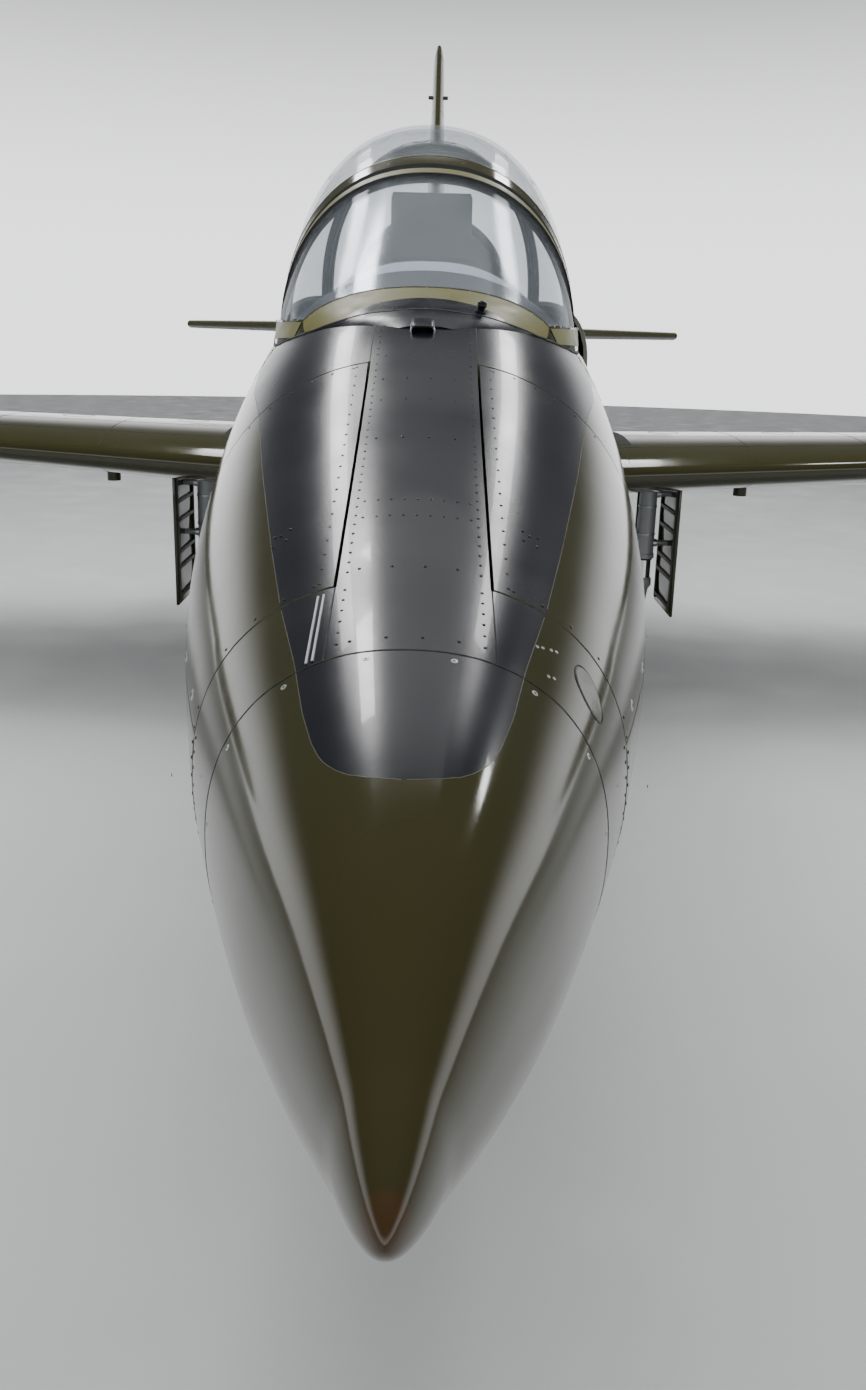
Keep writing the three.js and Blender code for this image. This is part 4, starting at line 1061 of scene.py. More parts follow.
points, normals = over_arch(MID_ARCH, 4.44, 2.05, count=40)
make("mid_arch_screws", "airframe", [
    (domes(points, normals, 0.0024, 0.0010), OLIVE), hoop(MID_ARCH, 4.398, 2.03, 0.006, 0.002, SEAL),
    hoop(MID_ARCH, 4.482, 2.03, 0.006, 0.002, SEAL),
], angle=50)

for name, rows in (("front_canopy", FRONT_CANOPY), ("rear_canopy", REAR_CANOPY)):
    front, rear = rows[0, 0], rows[-1, 0]
    parts = []
    for s, foot in ((front + 0.022, 2.06), (rear - 0.028, 2.06)):
        points, normals = over_arch(rows, s, foot, count=44)
        parts.append((domes(points, normals, 0.0022, 0.0009), OLIVE))
    for s in (front + 0.052, rear - 0.057):
        parts.append(hoop(rows, s, 2.10, 0.004, 0.0012, EDGE))
    for side in (1, -1):
        run_s = spread(front + 0.03, rear - 0.03, 0.045)
        x = side * between(rows, 1, run_s)
        out = np.tile((float(side), 0.0, 0.0), (len(run_s), 1))
        for z in (2.022, 2.078):
            spots = np.column_stack((x, TIP + run_s, np.full(len(run_s), z)))
            parts.append((domes(spots, out, 0.0034, 0.0013), STEEL))
        run_s = spread(front + 0.06, rear - 0.065, 0.04)
        x = side * between(rows, 1, run_s)
        spots = np.column_stack((x, TIP + run_s, np.full(len(run_s), 2.0905)))
        parts.append((ribbon(spots, np.tile((float(side), 0.0, 0.0), (len(run_s), 1)), 0.005, 0.0014), EDGE))
        # Lifting handle and lock catches on the inner side of the rail
        inner = side * (float(between(rows, 1, front + 0.5)) - 0.030)
        for s in (front + 0.30, front + 0.95):
            parts.append((block(sorted((inner, inner - side * 0.018)), (TIP + s - 0.030, TIP + s + 0.030),
                                (2.018, 2.058)), STEEL))
    # Hinge knuckles outside on the starboard sill
    for s in (front + 0.16, (front + rear) / 2, rear - 0.16):
        parts.append((turned([(0.0001, -0.030), (0.010, -0.030), (0.010, 0.030), (0.0001, 0.030)],
                             (-0.485, TIP + s, 2.003 + 0.0125), (0, 1, 0), 18), STEEL))
    grip = curve([(0.432, TIP + front + 0.55, 2.045), (0.395, TIP + front + 0.57, 2.050),
                  (0.392, TIP + front + 0.66, 2.050), (0.432, TIP + front + 0.68, 2.045)], 8)
    parts.append((tube(grip, 0.008, 12), YELLOW))
    make(f"{name}_fittings", name, parts, bevel=0.0, angle=45)

# Cockpits: name, seat station, seat base, seat height, panel station, panel top
COCKPITS = (("front", 3.560, 1.250, 1.330, 2.760, 2.210), ("rear", 5.080, 1.400, 1.230, 4.485, 2.270))


def placed(part, centre, facing):
    """A flat piece drawn in x and z, standing out along y, set at a point to look along a direction."""
    y = Vector(facing).normalized()
    x = y.cross(Vector((0, 0, 1))).normalized()
    z = x.cross(y)
    turn = Matrix((x, y, z)).transposed().to_4x4()
    return moved(part, Matrix.Translation(Vector(centre)) @ turn)


def dial(radius, needle, marks=12):
    """Round instrument looking along +y, with ticks and needles."""
    parts = [
        (turned([(radius * 1.2, -0.002), (radius * 1.2, 0.007), (radius * 1.06, 0.0095),
                 (radius * 0.98, 0.0035)],
                (0, 0, 0), sides=32), TRIM),
        (turned([(radius, 0.003), (0.0001, 0.003)], (0, 0, 0), sides=32), BLACK),
        (turned([(0.004, 0.003), (0.004, 0.0055), (0.0001, 0.0058)], (0, 0, 0), sides=12), TRIM),
    ]
    for i in range(marks):
        turn = Matrix.Rotation(2 * math.pi * i / marks, 4, "Y")
        long = 0.22 if i % 3 == 0 else 0.12
        tick = block((-0.0009, 0.0009), (0.003, 0.0036), (radius * (0.93 - long), radius * 0.93))
        parts.append((moved(tick, turn), WHITE))
    for angle, reach in zip(needle, (0.78, 0.5)):
        hand = block((-0.0013, 0.0013), (0.0038, 0.0046), (-radius * 0.16, radius * reach))
        parts.append((moved(hand, Matrix.Rotation(math.radians(angle), 4, "Y")), WHITE))
    return parts


for name, seat_s, base, height, panel_s, panel_top in COCKPITS:
    face = TIP + panel_s + 0.205
    drop = panel_top - 2.21
    parts = []
    for row, (z, xs, radius) in enumerate((
        (2.065, (-0.22, -0.115, 0.0, 0.115, 0.22), 0.040), (1.965, (-0.225, -0.12, 0.0, 0.12, 0.225), 0.041),
        (1.872, (-0.20, -0.10, 0.0, 0.10, 0.20), 0.034), (1.792, (-0.13, -0.045, 0.045, 0.13), 0.026),
    )):
        for column, x in enumerate(xs):
            if abs(x) > 0.2 and z > 2.05:
                continue
            for part, material in dial(radius,
                                       (37 * (row * 5 + column) % 300 + 20, 71 * (row + column) % 360)):
                parts.append((placed(part, (x, face, z + drop), (0, 1, 0)), material))
    for i, x in enumerate(np.linspace(-0.27, 0.27, 10)):
        z = 1.725 + drop
        parts.append((tube([(x, face - 0.001, z), (x, face + 0.016, z + 0.006)], [0.0035, 0.0022], 8), STEEL))
        parts.append((turned([(0.0075, -0.001), (0.0075, 0.003), (0.0035, 0.004)], (x, face, z), sides=14),
                      TRIM))
    z = 2.128 + drop
    warning = [block((x - 0.012, x + 0.012), (face - 0.001, face + 0.004), (z - 0.006, z + 0.006))
               for x in (-0.10, -0.07, -0.04, 0.04, 0.07, 0.10)]
    parts.extend((b, YELLOW if i % 2 else RED) for i, b in enumerate(warning))
    frame_line = [(-0.292, face + 0.001, 1.66 + drop), (0.292, face + 0.001, 1.66 + drop)]
    parts.append((tube(frame_line, 0.004, 8), STEEL))
    make(f"{name}_panel_instruments", "airframe", parts, angle=40)
    # Glare shield: a thin curved hood over the instruments
    rings = []
    for s, top, half in ((-0.055, -0.090, 0.285), (0.05, -0.020, 0.315), (0.16, 0.022, 0.328),
                         (0.27, 0.050, 0.332), (0.335, 0.062, 0.328), (0.343, 0.054, 0.323),
                         (0.332, 0.046, 0.318), (0.16, 0.010, 0.316), (0.05, -0.032, 0.303),
                         (-0.045, -0.102, 0.273)):
        ring = []
        for i in range(33):
            u = -1 + 2 * i / 32
            z = panel_top + 0.014 + top - 0.115 * abs(u) ** 2.6
            ring.append((half * u, TIP + panel_s + s, z))
        rings.append(ring)
    shield = loft(rings, closed=False, caps=False)
    lining = [(shield, PALE_GREY)]
    edge = [Vector(p) for p in rings[4]]
    lining.append((tube([p + Vector((0, 0.004, -0.004)) for p in edge], 0.0065, 10), TRIM))
    make(f"{name}_glare_shield", "airframe", lining, angle=50)

    # Seat: guide rails, head box, firing handles, leg guards
    y = TIP + seat_s
    parts = []
    for side in (1, -1):
        rail = [(side * 0.125, y + 0.375, base + 0.02), (side * 0.125, y + 0.478, base + height - 0.03)]
        parts.append((tube(rail, 0.017, 16), STEEL))
        guard = curve([(side * 0.214, y - 0.055, base + 0.30), (side * 0.217, y + 0.02, base + 0.44),
                       (side * 0.217, y + 0.16, base + 0.60), (side * 0.214, y + 0.30, base + 0.705)], 8)
        parts.append((tube(guard, 0.007, 10), STEEL))
        for z in (0.12, 0.34, 0.56):
            spots = [(side * 0.2155, y + d, base + z) for d in (0.0, 0.12, 0.24, 0.36)]
            parts.append((domes(spots, [(side, 0, 0)] * 4, 0.007, 0.003, 12), STEEL))
    pull = curve([(-0.050, y - 0.062, base + 0.215), (-0.055, y - 0.080, base + 0.290),
                  (0, y - 0.085, base + 0.315), (0.055, y - 0.080, base + 0.290),
                  (0.050, y - 0.062, base + 0.215)], 10)
    parts.append((tube(pull, 0.0085, 12), YELLOW))
    parts.append((block((-0.155, 0.155), (y + 0.232, y + 0.243),
                        (base + height - 0.235, base + height - 0.012)), TRIM))
    parts.append((block((-0.06, 0.06), (y - 0.066, y - 0.058), (base + 0.10, base + 0.17)), STEEL))
    make(f"{name}_seat_fittings", "airframe", parts, bevel=0.0015, angle=40)

    # Stick grip with trigger, rudder pedals, throttle and console switches
    parts = []
    foot_z = 1.250
    grip = [((0, y - 0.2505, foot_z + 0.44), 0.020), ((0, y - 0.249, foot_z + 0.47), 0.0235),
            ((0, y - 0.246, foot_z + 0.52), 0.0215), ((0, y - 0.243, foot_z + 0.565), 0.025),
            ((0, y - 0.240, foot_z + 0.592), 0.027), ((0, y - 0.239, foot_z + 0.604), 0.018)]
    parts.append((tube([g[0] for g in grip], [g[1] for g in grip], 20), TRIM))
    parts.append((block((-0.006, 0.006), (y - 0.281, y - 0.266), (foot_z + 0.525, foot_z + 0.560)), RED))
    boot = [(0.052 - 0.004 * k + (0.006 if k % 2 else 0), 0.0 + 0.013 * k) for k in range(7)]
    parts.append((turned(boot, (0, y - 0.33, foot_z + 0.058), (0, 0, 1), 24), SEAL))
    make(f"{name}_stick_grip", "airframe", parts, angle=45)
    parts = []
    for side in (1, -1):
        x0 = side * 0.135
        py = TIP + panel_s + (0.245 if name == "rear" else 0.09)
        parts.append((block((x0 - 0.048, x0 + 0.048), (py - 0.006, py + 0.006),
                            (foot_z + 0.12, foot_z + 0.25)), STEEL))
        for k in range(4):
            z = foot_z + 0.14 + 0.03 * k
            parts.append((tube([(x0 - 0.046, py + 0.007, z), (x0 + 0.046, py + 0.007, z)], 0.004, 8), TRIM))
        parts.append((tube([(x0, py, foot_z + 0.14), (x0, py + 0.05, foot_z + 0.002)], 0.010, 10), STEEL))
        cx = side * 0.365
        for k, along in enumerate(spread(seat_s - 0.34, seat_s + 0.20, 0.09)):
            top = 1.6405
            parts.append((block((cx - 0.055, cx + 0.055), (TIP + along - 0.038, TIP + along + 0.038),
                                (top - 0.003, top + 0.006)), BLACK))
            for j in range(4):
                spot = (cx - 0.036 + 0.024 * j, TIP + along + (0.014 if k % 2 else -0.012), top + 0.005)
                if (j + k) % 3:
                    parts.append((tube([spot, (spot[0], spot[1] - 0.004, spot[2] + 0.014)], [0.003, 0.002],
                                       8), STEEL))
                else:
                    parts.append((turned([(0.009, 0), (0.008, 0.010), (0.0001, 0.011)], spot, (0, 0, 1), 16),
                                  TRIM))
    lever = [(0.335, y - 0.20, 1.640), (0.333, y - 0.235, 1.745)]
    parts.append((tube(lever, 0.007, 10), STEEL))
    parts.append((turned([(0.0001, -0.030), (0.017, -0.028), (0.019, 0.0), (0.017, 0.028), (0.0001, 0.030)],
                         (0.333, y - 0.240, 1.756), (1, 0, 0), 20), TRIM))
    parts.append((tube([(0.40, y - 0.05, 1.640), (0.40, y - 0.09, 1.70)], 0.006, 10), STEEL))
    parts.append((turned([(0.0001, -0.012), (0.013, 0), (0.0001, 0.012)], (0.40, y - 0.094, 1.706),
                         (0, 0, 1), 16), RED))
    make(f"{name}_cockpit_controls", "airframe", parts, angle=40)
for node, skin, bevel in (
    ("cockpit_floor", GREY, 0.003), ("front_seat", TRIM, 0.006), ("rear_seat", TRIM, 0.006),
    ("front_panel", TRIM, 0.004), ("rear_panel", TRIM, 0.004), ("front_stick", TRIM, 0.002),
    ("rear_stick", TRIM, 0.002), ("equipment_left", TRIM, 0.003), ("equipment_right", TRIM, 0.003),
):
    refined(node, [], PLAIN_EDGE, skin, skin, bevel)

# Cushions puffed up as cloth under pressure, then the harness laid on them
VOXEL = 0.0085
PRESSURE, CLOTH_FRAMES = 4, 20
CUSHION_CAP = 0.010


def laid_on(shape, points, way, reach, back=0.0):
    """Places and normals where rays from some points along a way meet a shape."""
    found = [shape.ray_cast(Vector(p) - Vector(way) * back, Vector(way), reach)[:2] for p in points]
    return [spot for spot in found if spot[0] is not None]


def strap(laid, width):
    return ribbon([p + n * 0.001 for p, n in laid], [n for _, n in laid], width, 0.0035), WEB


def baked(thing):
    """Mesh of an object with its modifiers applied."""
    return bpy.data.meshes.new_from_object(thing.evaluated_get(bpy.context.evaluated_depsgraph_get()))


def cushion(name, node, rings, seams):
    """Pad from a closed run of rings: remeshed, inflated, held to a largest movement, with sewn seams."""
    mesh = bpy.data.meshes.new(name)
    v, f = loft(rings)
    mesh.from_pydata(v, [], f)
    mesh.update()
    pad = linked(name, mesh)
    fine = pad.modifiers.new("remesh", "REMESH")
    fine.mode, fine.voxel_size = "VOXEL", VOXEL
    smooth = pad.modifiers.new("smooth", "SMOOTH")
    smooth.iterations, smooth.factor = 10, 0.6
    plain = baked(pad)
    pad.modifiers.clear()
    pad.data = plain
    start = np.array([tuple(q.co) for q in plain.vertices])
    cloth = pad.modifiers.new("cloth", "CLOTH")
    cloth.settings.use_pressure = True
    cloth.settings.uniform_pressure_force = PRESSURE
    cloth.settings.quality = 4
    cloth.settings.effector_weights.gravity = 0
    for number in range(1, CLOTH_FRAMES + 1):
        bpy.context.scene.frame_set(number)
    grown = baked(pad)
    bpy.context.scene.frame_set(1)
    pad.modifiers.clear()
    end = np.array([tuple(q.co) for q in grown.vertices])
    shift = end - start
    reach = np.linalg.norm(shift, axis=1)[:, None] + 1e-9
    shift *= np.minimum(1, CUSHION_CAP / reach)
    plain.vertices.foreach_set("co", (start + shift).ravel())
    plain.update()
    sub = pad.modifiers.new("sub", "SUBSURF")
    sub.levels = sub.render_levels = 1
    final = baked(pad)
    pad.modifiers.clear()
    pad.data = final
    final.materials.append(DRAB)
    final.shade_smooth()
    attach(pad, "airframe")
    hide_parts(node)
    shape = BVHTree.FromPolygons([q.co[:] for q in final.vertices], [q.vertices[:] for q in final.polygons])
    lines = []
    for points, way in seams:
        laid = laid_on(shape, points, way, 0.6, 0.3)
        if len(laid) > 2:
            lines.append((ribbon([p for p, _ in laid], [n for _, n in laid], 0.005, 0.0016), WEB))
    return shape, lines


def slab_ring(half, front, rear, z, count=6):
    run = [(-half + 2 * half * i / count, front) for i in range(count + 1)]
    run += [(half - 2 * half * i / count, rear) for i in range(count + 1)]
    return [(x, y, z) for x, y in run]


for name, seat_s, base, height, *_ in COCKPITS:
    y = TIP + seat_s
    lean = 0.110 / (height - 0.150)
    pad_top = min(1.040, height - 0.240) - 0.006
    seat_rings = [slab_ring(0.158 - inset, y - 0.070 + inset, y + 0.186 - inset, base + z)
                  for z, inset in ((0.222, 0.010), (0.236, 0.0), (0.268, 0.0), (0.284, 0.014))]
    back_rings = []
    for z, inset in ((0.252, 0.012), (0.268, 0.0), (pad_top - 0.030, 0.0), (pad_top - 0.012, 0.012)):
        rear = y + 0.240 - 0.010 + (z - 0.150) * lean
        back_rings.append(slab_ring(0.156 - inset, rear - 0.036 + inset * 0.5, rear - inset * 0.5, base + z))
    down, aft = (0, 0, -1), (0, 1, 0)
    seams = [([(x, y + d, base + 0.25) for d in spread(-0.060, 0.176, 0.01)], down)
             for x in (-0.075, 0.0, 0.075)]
    node = f"{name}_seat_cushion"
    seat_shape, lines = cushion(f"{name}_seat_pad", node, seat_rings, seams)
    channels = [([(x, y + 0.2, base + z) for x in spread(-0.146, 0.146, 0.01)], aft)
                for z in (0.36, 0.48, 0.60, 0.72)]
    back_shape, more = cushion(f"{name}_back_pad", node, back_rings, channels)
    straps = []
    top_z = base + pad_top - 0.01
    for side in (1, -1):
        way = [(side * (0.055 + 0.035 * k / 20), y + 0.1,
                top_z - (pad_top - 0.33) * k / 20) for k in range(21)]
        laid = laid_on(back_shape, way, aft, 0.4)
        straps.append(strap(laid, 0.044))
        buckle = block((-0.026, 0.026), (0.001, 0.008), (-0.016, 0.016))
        straps.append((placed(buckle, *laid[len(laid) // 3]), STEEL))
        way = [(side * (0.155 - 0.110 * k / 14), y + 0.055 + 0.03 * k / 14, base + 0.5) for k in range(15)]
        straps.append(strap(laid_on(seat_shape, way, down, 0.5), 0.040))
    centre = seat_shape.ray_cast(Vector((0, y + 0.085, base + 0.5)), Vector(down), 0.5)[0]
    straps.append((turned([(0.034, -0.004), (0.034, 0.010), (0.028, 0.015), (0.0001, 0.016)], centre,
                          (0, 0, 1), 32), STEEL))
    make(f"{name}_harness", "airframe", [*lines, *more, *straps], bevel=0.0, angle=45)

PAINTED_LEG = surface_of("leg_paint", (0.25, 0.27, 0.27), (0.31, 0.33, 0.33), 0.38, coat=0.2, bump=0.05)
HOSE = surface_of("brake_hose", (0.010, 0.010, 0.011), (0.016, 0.016, 0.017), 0.55, bump=0.3)


# Wheels: one tyre and one hub profile for each size, turned about the axle
def tyre_profile(radius, width, rim):
    half = width / 2
    outline = [
        (rim - 0.004, -half * 0.72), (rim + 0.004, -half * 0.84), (rim + 0.16 * (radius - rim), -half * 0.93),
        (rim + 0.42 * (radius - rim), -half), (rim + 0.64 * (radius - rim), -half * 0.97),
        (rim + 0.82 * (radius - rim), -half * 0.84), (rim + 0.94 * (radius - rim), -half * 0.64),
        (radius - 0.002, -half * 0.46),
    ]
    crown = []
    for groove in (-0.30, 0.0, 0.30):
        at = groove * half
        crown += [(radius, at - 0.0075), (radius - 0.006, at - 0.0050), (radius - 0.006, at + 0.0050),
                  (radius, at + 0.0075)]
    return [*outline, *crown, *[(r, -d) for r, d in reversed(outline)]]


def wheel(name, body_name, centre, radius, width, rim, bolts, bore, tie_bolts):
    side = 1 if centre[0] >= 0 else -1
    make(f"{name}_tyre_rubber", body_name, [
        (turned(tyre_profile(radius, width, rim), centre, (1, 0, 0), 88), RUBBER),
    ], angle=50, replaces=(f"{name}_tyre",))
    half = width / 2
    hub = [
        (bore, -half * 0.60), (rim * 0.30, -half * 0.62), (rim * 0.42, -half * 0.52),
        (rim * 0.66, -half * 0.36), (rim * 0.80, -half * 0.42), (rim * 0.88, -half * 0.70),
        (rim * 0.93, -half * 0.80), (rim + 0.008, -half * 0.83), (rim + 0.009, -half * 0.77),
        (rim - 0.008, -half * 0.70), (rim - 0.012, -half * 0.3),
    ]
    profile = [*hub, *[(r, -d) for r, d in reversed(hub)]]
    parts = [(turned(profile, centre, (1, 0, 0), 72), HUB)]
    for face in (1, -1):
        for k in range(bolts):
            angle = 2 * math.pi * k / bolts
            r = rim * 0.56
            spot = (centre[0] + face * half * 0.425, centre[1] + r * math.cos(angle),
                    centre[2] + r * math.sin(angle))
            bolt = [(0.0095, -0.006), (0.0095, 0.007), (0.0055, 0.0075), (0.0055, 0.014), (0.0001, 0.0145)]
            parts.append((turned(bolt, spot, (face, 0, 0), 6), STEEL))
        cap = [(rim * 0.26, 0.0), (rim * 0.26, 0.012), (rim * 0.20, 0.020), (0.0001, 0.022)]
        parts.append((turned(cap, (centre[0] + face * half * 0.60, centre[1], centre[2]), (face, 0, 0), 32),
                      STEEL))
    if tie_bolts:
        for k in range(9):
            angle = 2 * math.pi * (k + 0.5) / 9
            r = rim * 0.73
            spots = [(centre[0] + f * half * 0.40, centre[1] + r * math.cos(angle),
                      centre[2] + r * math.sin(angle))
                     for f in (-1, 1)]
            parts.append((tube(spots, 0.010, 10), TRIM))
    valve = [(centre[0] + side * half * 0.42, centre[1], centre[2] + rim * 0.78),
             (centre[0] + side * half * 0.66, centre[1], centre[2] + rim * 0.80)]
    parts.append((tube(valve, [0.005, 0.0035], 10), TRIM))
    make(f"{name}_wheel_hub", body_name, parts, angle=38, replaces=(f"{name}_wheel",))


NOSE_AXLE = (0.0, TIP + 2.270, 0.215)
wheel("nose", "nose_wheel", NOSE_AXLE, 0.215, 0.150, 0.112, 8, 0.0153, False)
for side_name, side in SIDES:
    wheel(f"main_{side_name}", f"main_wheel_{side_name}", (side * 1.275, TIP + 6.600, 0.305), 0.305, 0.185,
          0.158, 10, 0.0243, True)


def leg_parts(x, y, top, radius, chrome_foot, chrome_top, chrome):
    """Shock strut: painted cylinder with collars above a chromed slider."""
    upper = [(radius, chrome_top), (radius + 0.006, chrome_top + 0.004), (radius + 0.006, chrome_top + 0.030),
             (radius, chrome_top + 0.034), (radius, top - 0.10), (radius + 0.005, top - 0.095),
             (radius + 0.005, top - 0.07), (radius, top - 0.065), (radius, top)]
    slider = [(chrome, chrome_foot), (chrome, chrome_top + 0.02)]
    wiper = [(chrome, chrome_top - 0.012), (chrome + 0.006, chrome_top - 0.010),
             (chrome + 0.006, chrome_top + 0.001), (radius, chrome_top + 0.001)]
    return [(turned(upper, (x, y, 0), (0, 0, 1), 40), PAINTED_LEG),
            (turned(slider, (x, y, 0), (0, 0, 1), 36), CHROME),
            (turned(wiper, (x, y, 0), (0, 0, 1), 36), SEAL)]


def link(a, b, width_a, width_b, thick, eye):
    """Flat arm of a scissor link from one eye to the other, lying across x."""
    a, b = Vector(a), Vector(b)
    along = (b - a).normalized()
    x = Vector((1, 0, 0))
    n = x.cross(along).normalized()
    ring = []
    for p, w in ((a, width_a), (a.lerp(b, 0.5), (width_a + width_b) * 0.42), (b, width_b)):
        ring.append([p - x * w + n * thick, p + x * w + n * thick, p + x * w - n * thick,
                     p - x * w - n * thick])
    return joined([loft(ring), tube([a - x * width_a, a + x * width_a], eye, 16),
                   tube([b - x * width_b, b + x * width_b], eye, 16)])


# Nose leg
y = TIP + 2.200
parts = leg_parts(0, y, 1.2895, 0.058, 0.62, 0.80, 0.046)
parts.append((tube([(-0.1645, y, 1.150), (0.1645, y, 1.150)], 0.036, 24), PAINTED_LEG))
for side in (1, -1):
    parts.append((tube([(side * 0.150, y, 1.150), (side * 0.164, y, 1.150)], 0.045, 24), STEEL))
parts.append((turned([(0.066, -0.022), (0.070, -0.018), (0.070, 0.018), (0.066, 0.022)], (0, y, 0.672),
                     (0, 0, 1), 36), STEEL))
parts.append((tube([(0, y + 0.055, 1.02), (0, y + 0.150, 1.285)], [0.020, 0.017], 16), PAINTED_LEG))
parts.append((tube([(0, y + 0.058, 0.93), (0, y + 0.125, 1.180)], 0.011, 12), CHROME))
steer = curve([(-0.058, y - 0.035, 0.72), (-0.085, y - 0.045, 0.80), (-0.080, y - 0.02, 0.98),
               (-0.055, y, 1.10)], 8)
parts.append((tube(steer, 0.0065, 10), HOSE))
lamp = (0.0, y - 0.080, 0.905)
parts.append((turned([(0.0001, 0.040), (0.030, 0.036), (0.050, 0.010), (0.052, -0.004), (0.048, -0.006)],
                     lamp, (0, 1, 0), 32), TRIM))
parts.append((tube([(0, y - 0.045, 0.905), (0, y - 0.02, 0.905)], 0.014, 12), STEEL))
make("nose_leg_strut", "airframe", parts, angle=40, replaces=("nose_leg",))
LAMP = surface_of("lamp_glass", (0.62, 0.65, 0.66), (0.72, 0.75, 0.76), 0.08, metal=0.6, spread=0.03)
make("nose_leg_lamp", "airframe",
     [(turned([(0.048, -0.006), (0.036, -0.012), (0.0001, -0.0155)], lamp, (0, 1, 0), 32), LAMP)], angle=60)
parts = [
    (turned([(0.050, 0.520), (0.050, 0.6395)], (0, y, 0), (0, 0, 1), 36), CHROME),
    (turned([(0.0001, 0.512), (0.050, 0.516), (0.056, 0.530), (0.056, 0.566), (0.050, 0.580)], (0, y, 0),
            (0, 0, 1), 36), PAINTED_LEG),
    (tube([(-0.102, y, 0.555), (0.102, y, 0.555)], 0.034, 24), PAINTED_LEG),
    (tube([(-0.140, *NOSE_AXLE[1:]), (0.140, *NOSE_AXLE[1:])], 0.0149, 20), CHROME),
    (link((0, y + 0.062, 0.545), (0, y + 0.135, 0.600), 0.028, 0.020, 0.007, 0.012), STEEL),
    (link((0, y + 0.062, 0.632), (0, y + 0.135, 0.600), 0.028, 0.016, 0.007, 0.012), STEEL),
]
for side in (1, -1):
    run = curve([(side * 0.102, y, 0.560), (side * 0.103, y + 0.016, 0.470), (side * 0.103, y + 0.052, 0.300),
                 (side * 0.102, y + 0.070, 0.215)], 8)
    parts.append((tube(run, [0.026] * 4 + [0.024] * (len(run) - 8) + [0.026] * 4, 20), PAINTED_LEG))
    parts.append((tube([(side * 0.072, y + 0.07, 0.215), (side * 0.128, y + 0.07, 0.215)], 0.034, 24),
                  PAINTED_LEG))
    parts.append((turned([(0.021, 0), (0.021, 0.012), (0.012, 0.014), (0.0001, 0.014)],
                         (side * 0.128, y + 0.07, 0.215), (side, 0, 0), 6), STEEL))
make("nose_fork_arms", BODY_OF["nose_fork"], parts, angle=40, replaces=("nose_fork",))
# Main legs
for side_name, side in SIDES:
    x, y = side * 1.430, TIP + 6.480
    parts = leg_parts(x, y, 1.3295, 0.058, 0.53, 0.700, 0.047)
    parts.append((turned([(0.0001, 0.505), (0.050, 0.508), (0.058, 0.520), (0.058, 0.560), (0.048, 0.575)],
                         (x, y, 0), (0, 0, 1), 36), PAINTED_LEG))
    arm = [Vector((x, y, 0.530)), Vector((x, y + 0.06, 0.418)), Vector((x, y + 0.120, 0.305))]
    parts.append((tube(arm, [0.046, 0.042, 0.044], 24), PAINTED_LEG))
    parts.append((tube([(x + side * 0.036, y + 0.12, 0.305), (side * 1.215, y + 0.12, 0.305)], 0.0238, 24),
                  STEEL))
    parts.append((tube([(x - side * 0.030, y + 0.12, 0.305), (x + side * 0.046, y + 0.12, 0.305)], 0.050,
                       28), PAINTED_LEG))
    brace = [(x, y, 0.780), (side * 0.900, y, 1.300)]
    parts.append((tube(brace, 0.024, 20), PAINTED_LEG))
    middle = [(x + (side * 0.900 - x) * k, y, 0.780 + 0.520 * k) for k in (0.42, 0.58)]
    parts.append((tube(middle, 0.031, 24), STEEL))
    for k in (0.06, 0.94):
        p = Vector(brace[0]).lerp(Vector(brace[1]), k)
        parts.append((tube([p + Vector((0, -0.034, 0)), p + Vector((0, 0.034, 0))], 0.018, 20), STEEL))
    parts.append((link((x, y + 0.060, 0.725), (x, y + 0.155, 0.640), 0.026, 0.018, 0.008, 0.013), STEEL))
    parts.append((link((x, y + 0.075, 0.500), (x, y + 0.155, 0.640), 0.026, 0.014, 0.008, 0.013), STEEL))
    hose = curve([(x - side * 0.02, y + 0.115, 0.362), (x - side * 0.055, y + 0.105, 0.480),
                  (x - side * 0.066, y + 0.03, 0.60), (x - side * 0.064, y + 0.015, 0.80),
                  (x - side * 0.062, y + 0.01, 1.25)], 10)
    parts.append((tube(hose, 0.0062, 10), HOSE))
    for z in (0.86, 1.04):
        parts.append((turned([(0.0605, -0.006), (0.062, -0.004), (0.062, 0.004), (0.0605, 0.006)], (x, y, z),
                             (0, 0, 1), 32), STEEL))
    brake = [(0.060, -0.026), (0.112, -0.024), (0.118, -0.012), (0.118, 0.010), (0.060, 0.012)]
    parts.append((turned(brake, (side * 1.355, y + 0.12, 0.305), (1, 0, 0), 36), STEEL))
    for z in (0.800, 1.120):
        parts.append((tube([(x, y, z), (side * 1.5747, y, z)], 0.018, 16), PAINTED_LEG))
        parts.append((tube([(x + side * 0.05, y, z), (x + side * 0.075, y, z)], 0.026, 20), STEEL))
    make(f"main_leg_{side_name}_strut", "airframe", parts, angle=40, replaces=(f"main_leg_{side_name}",))
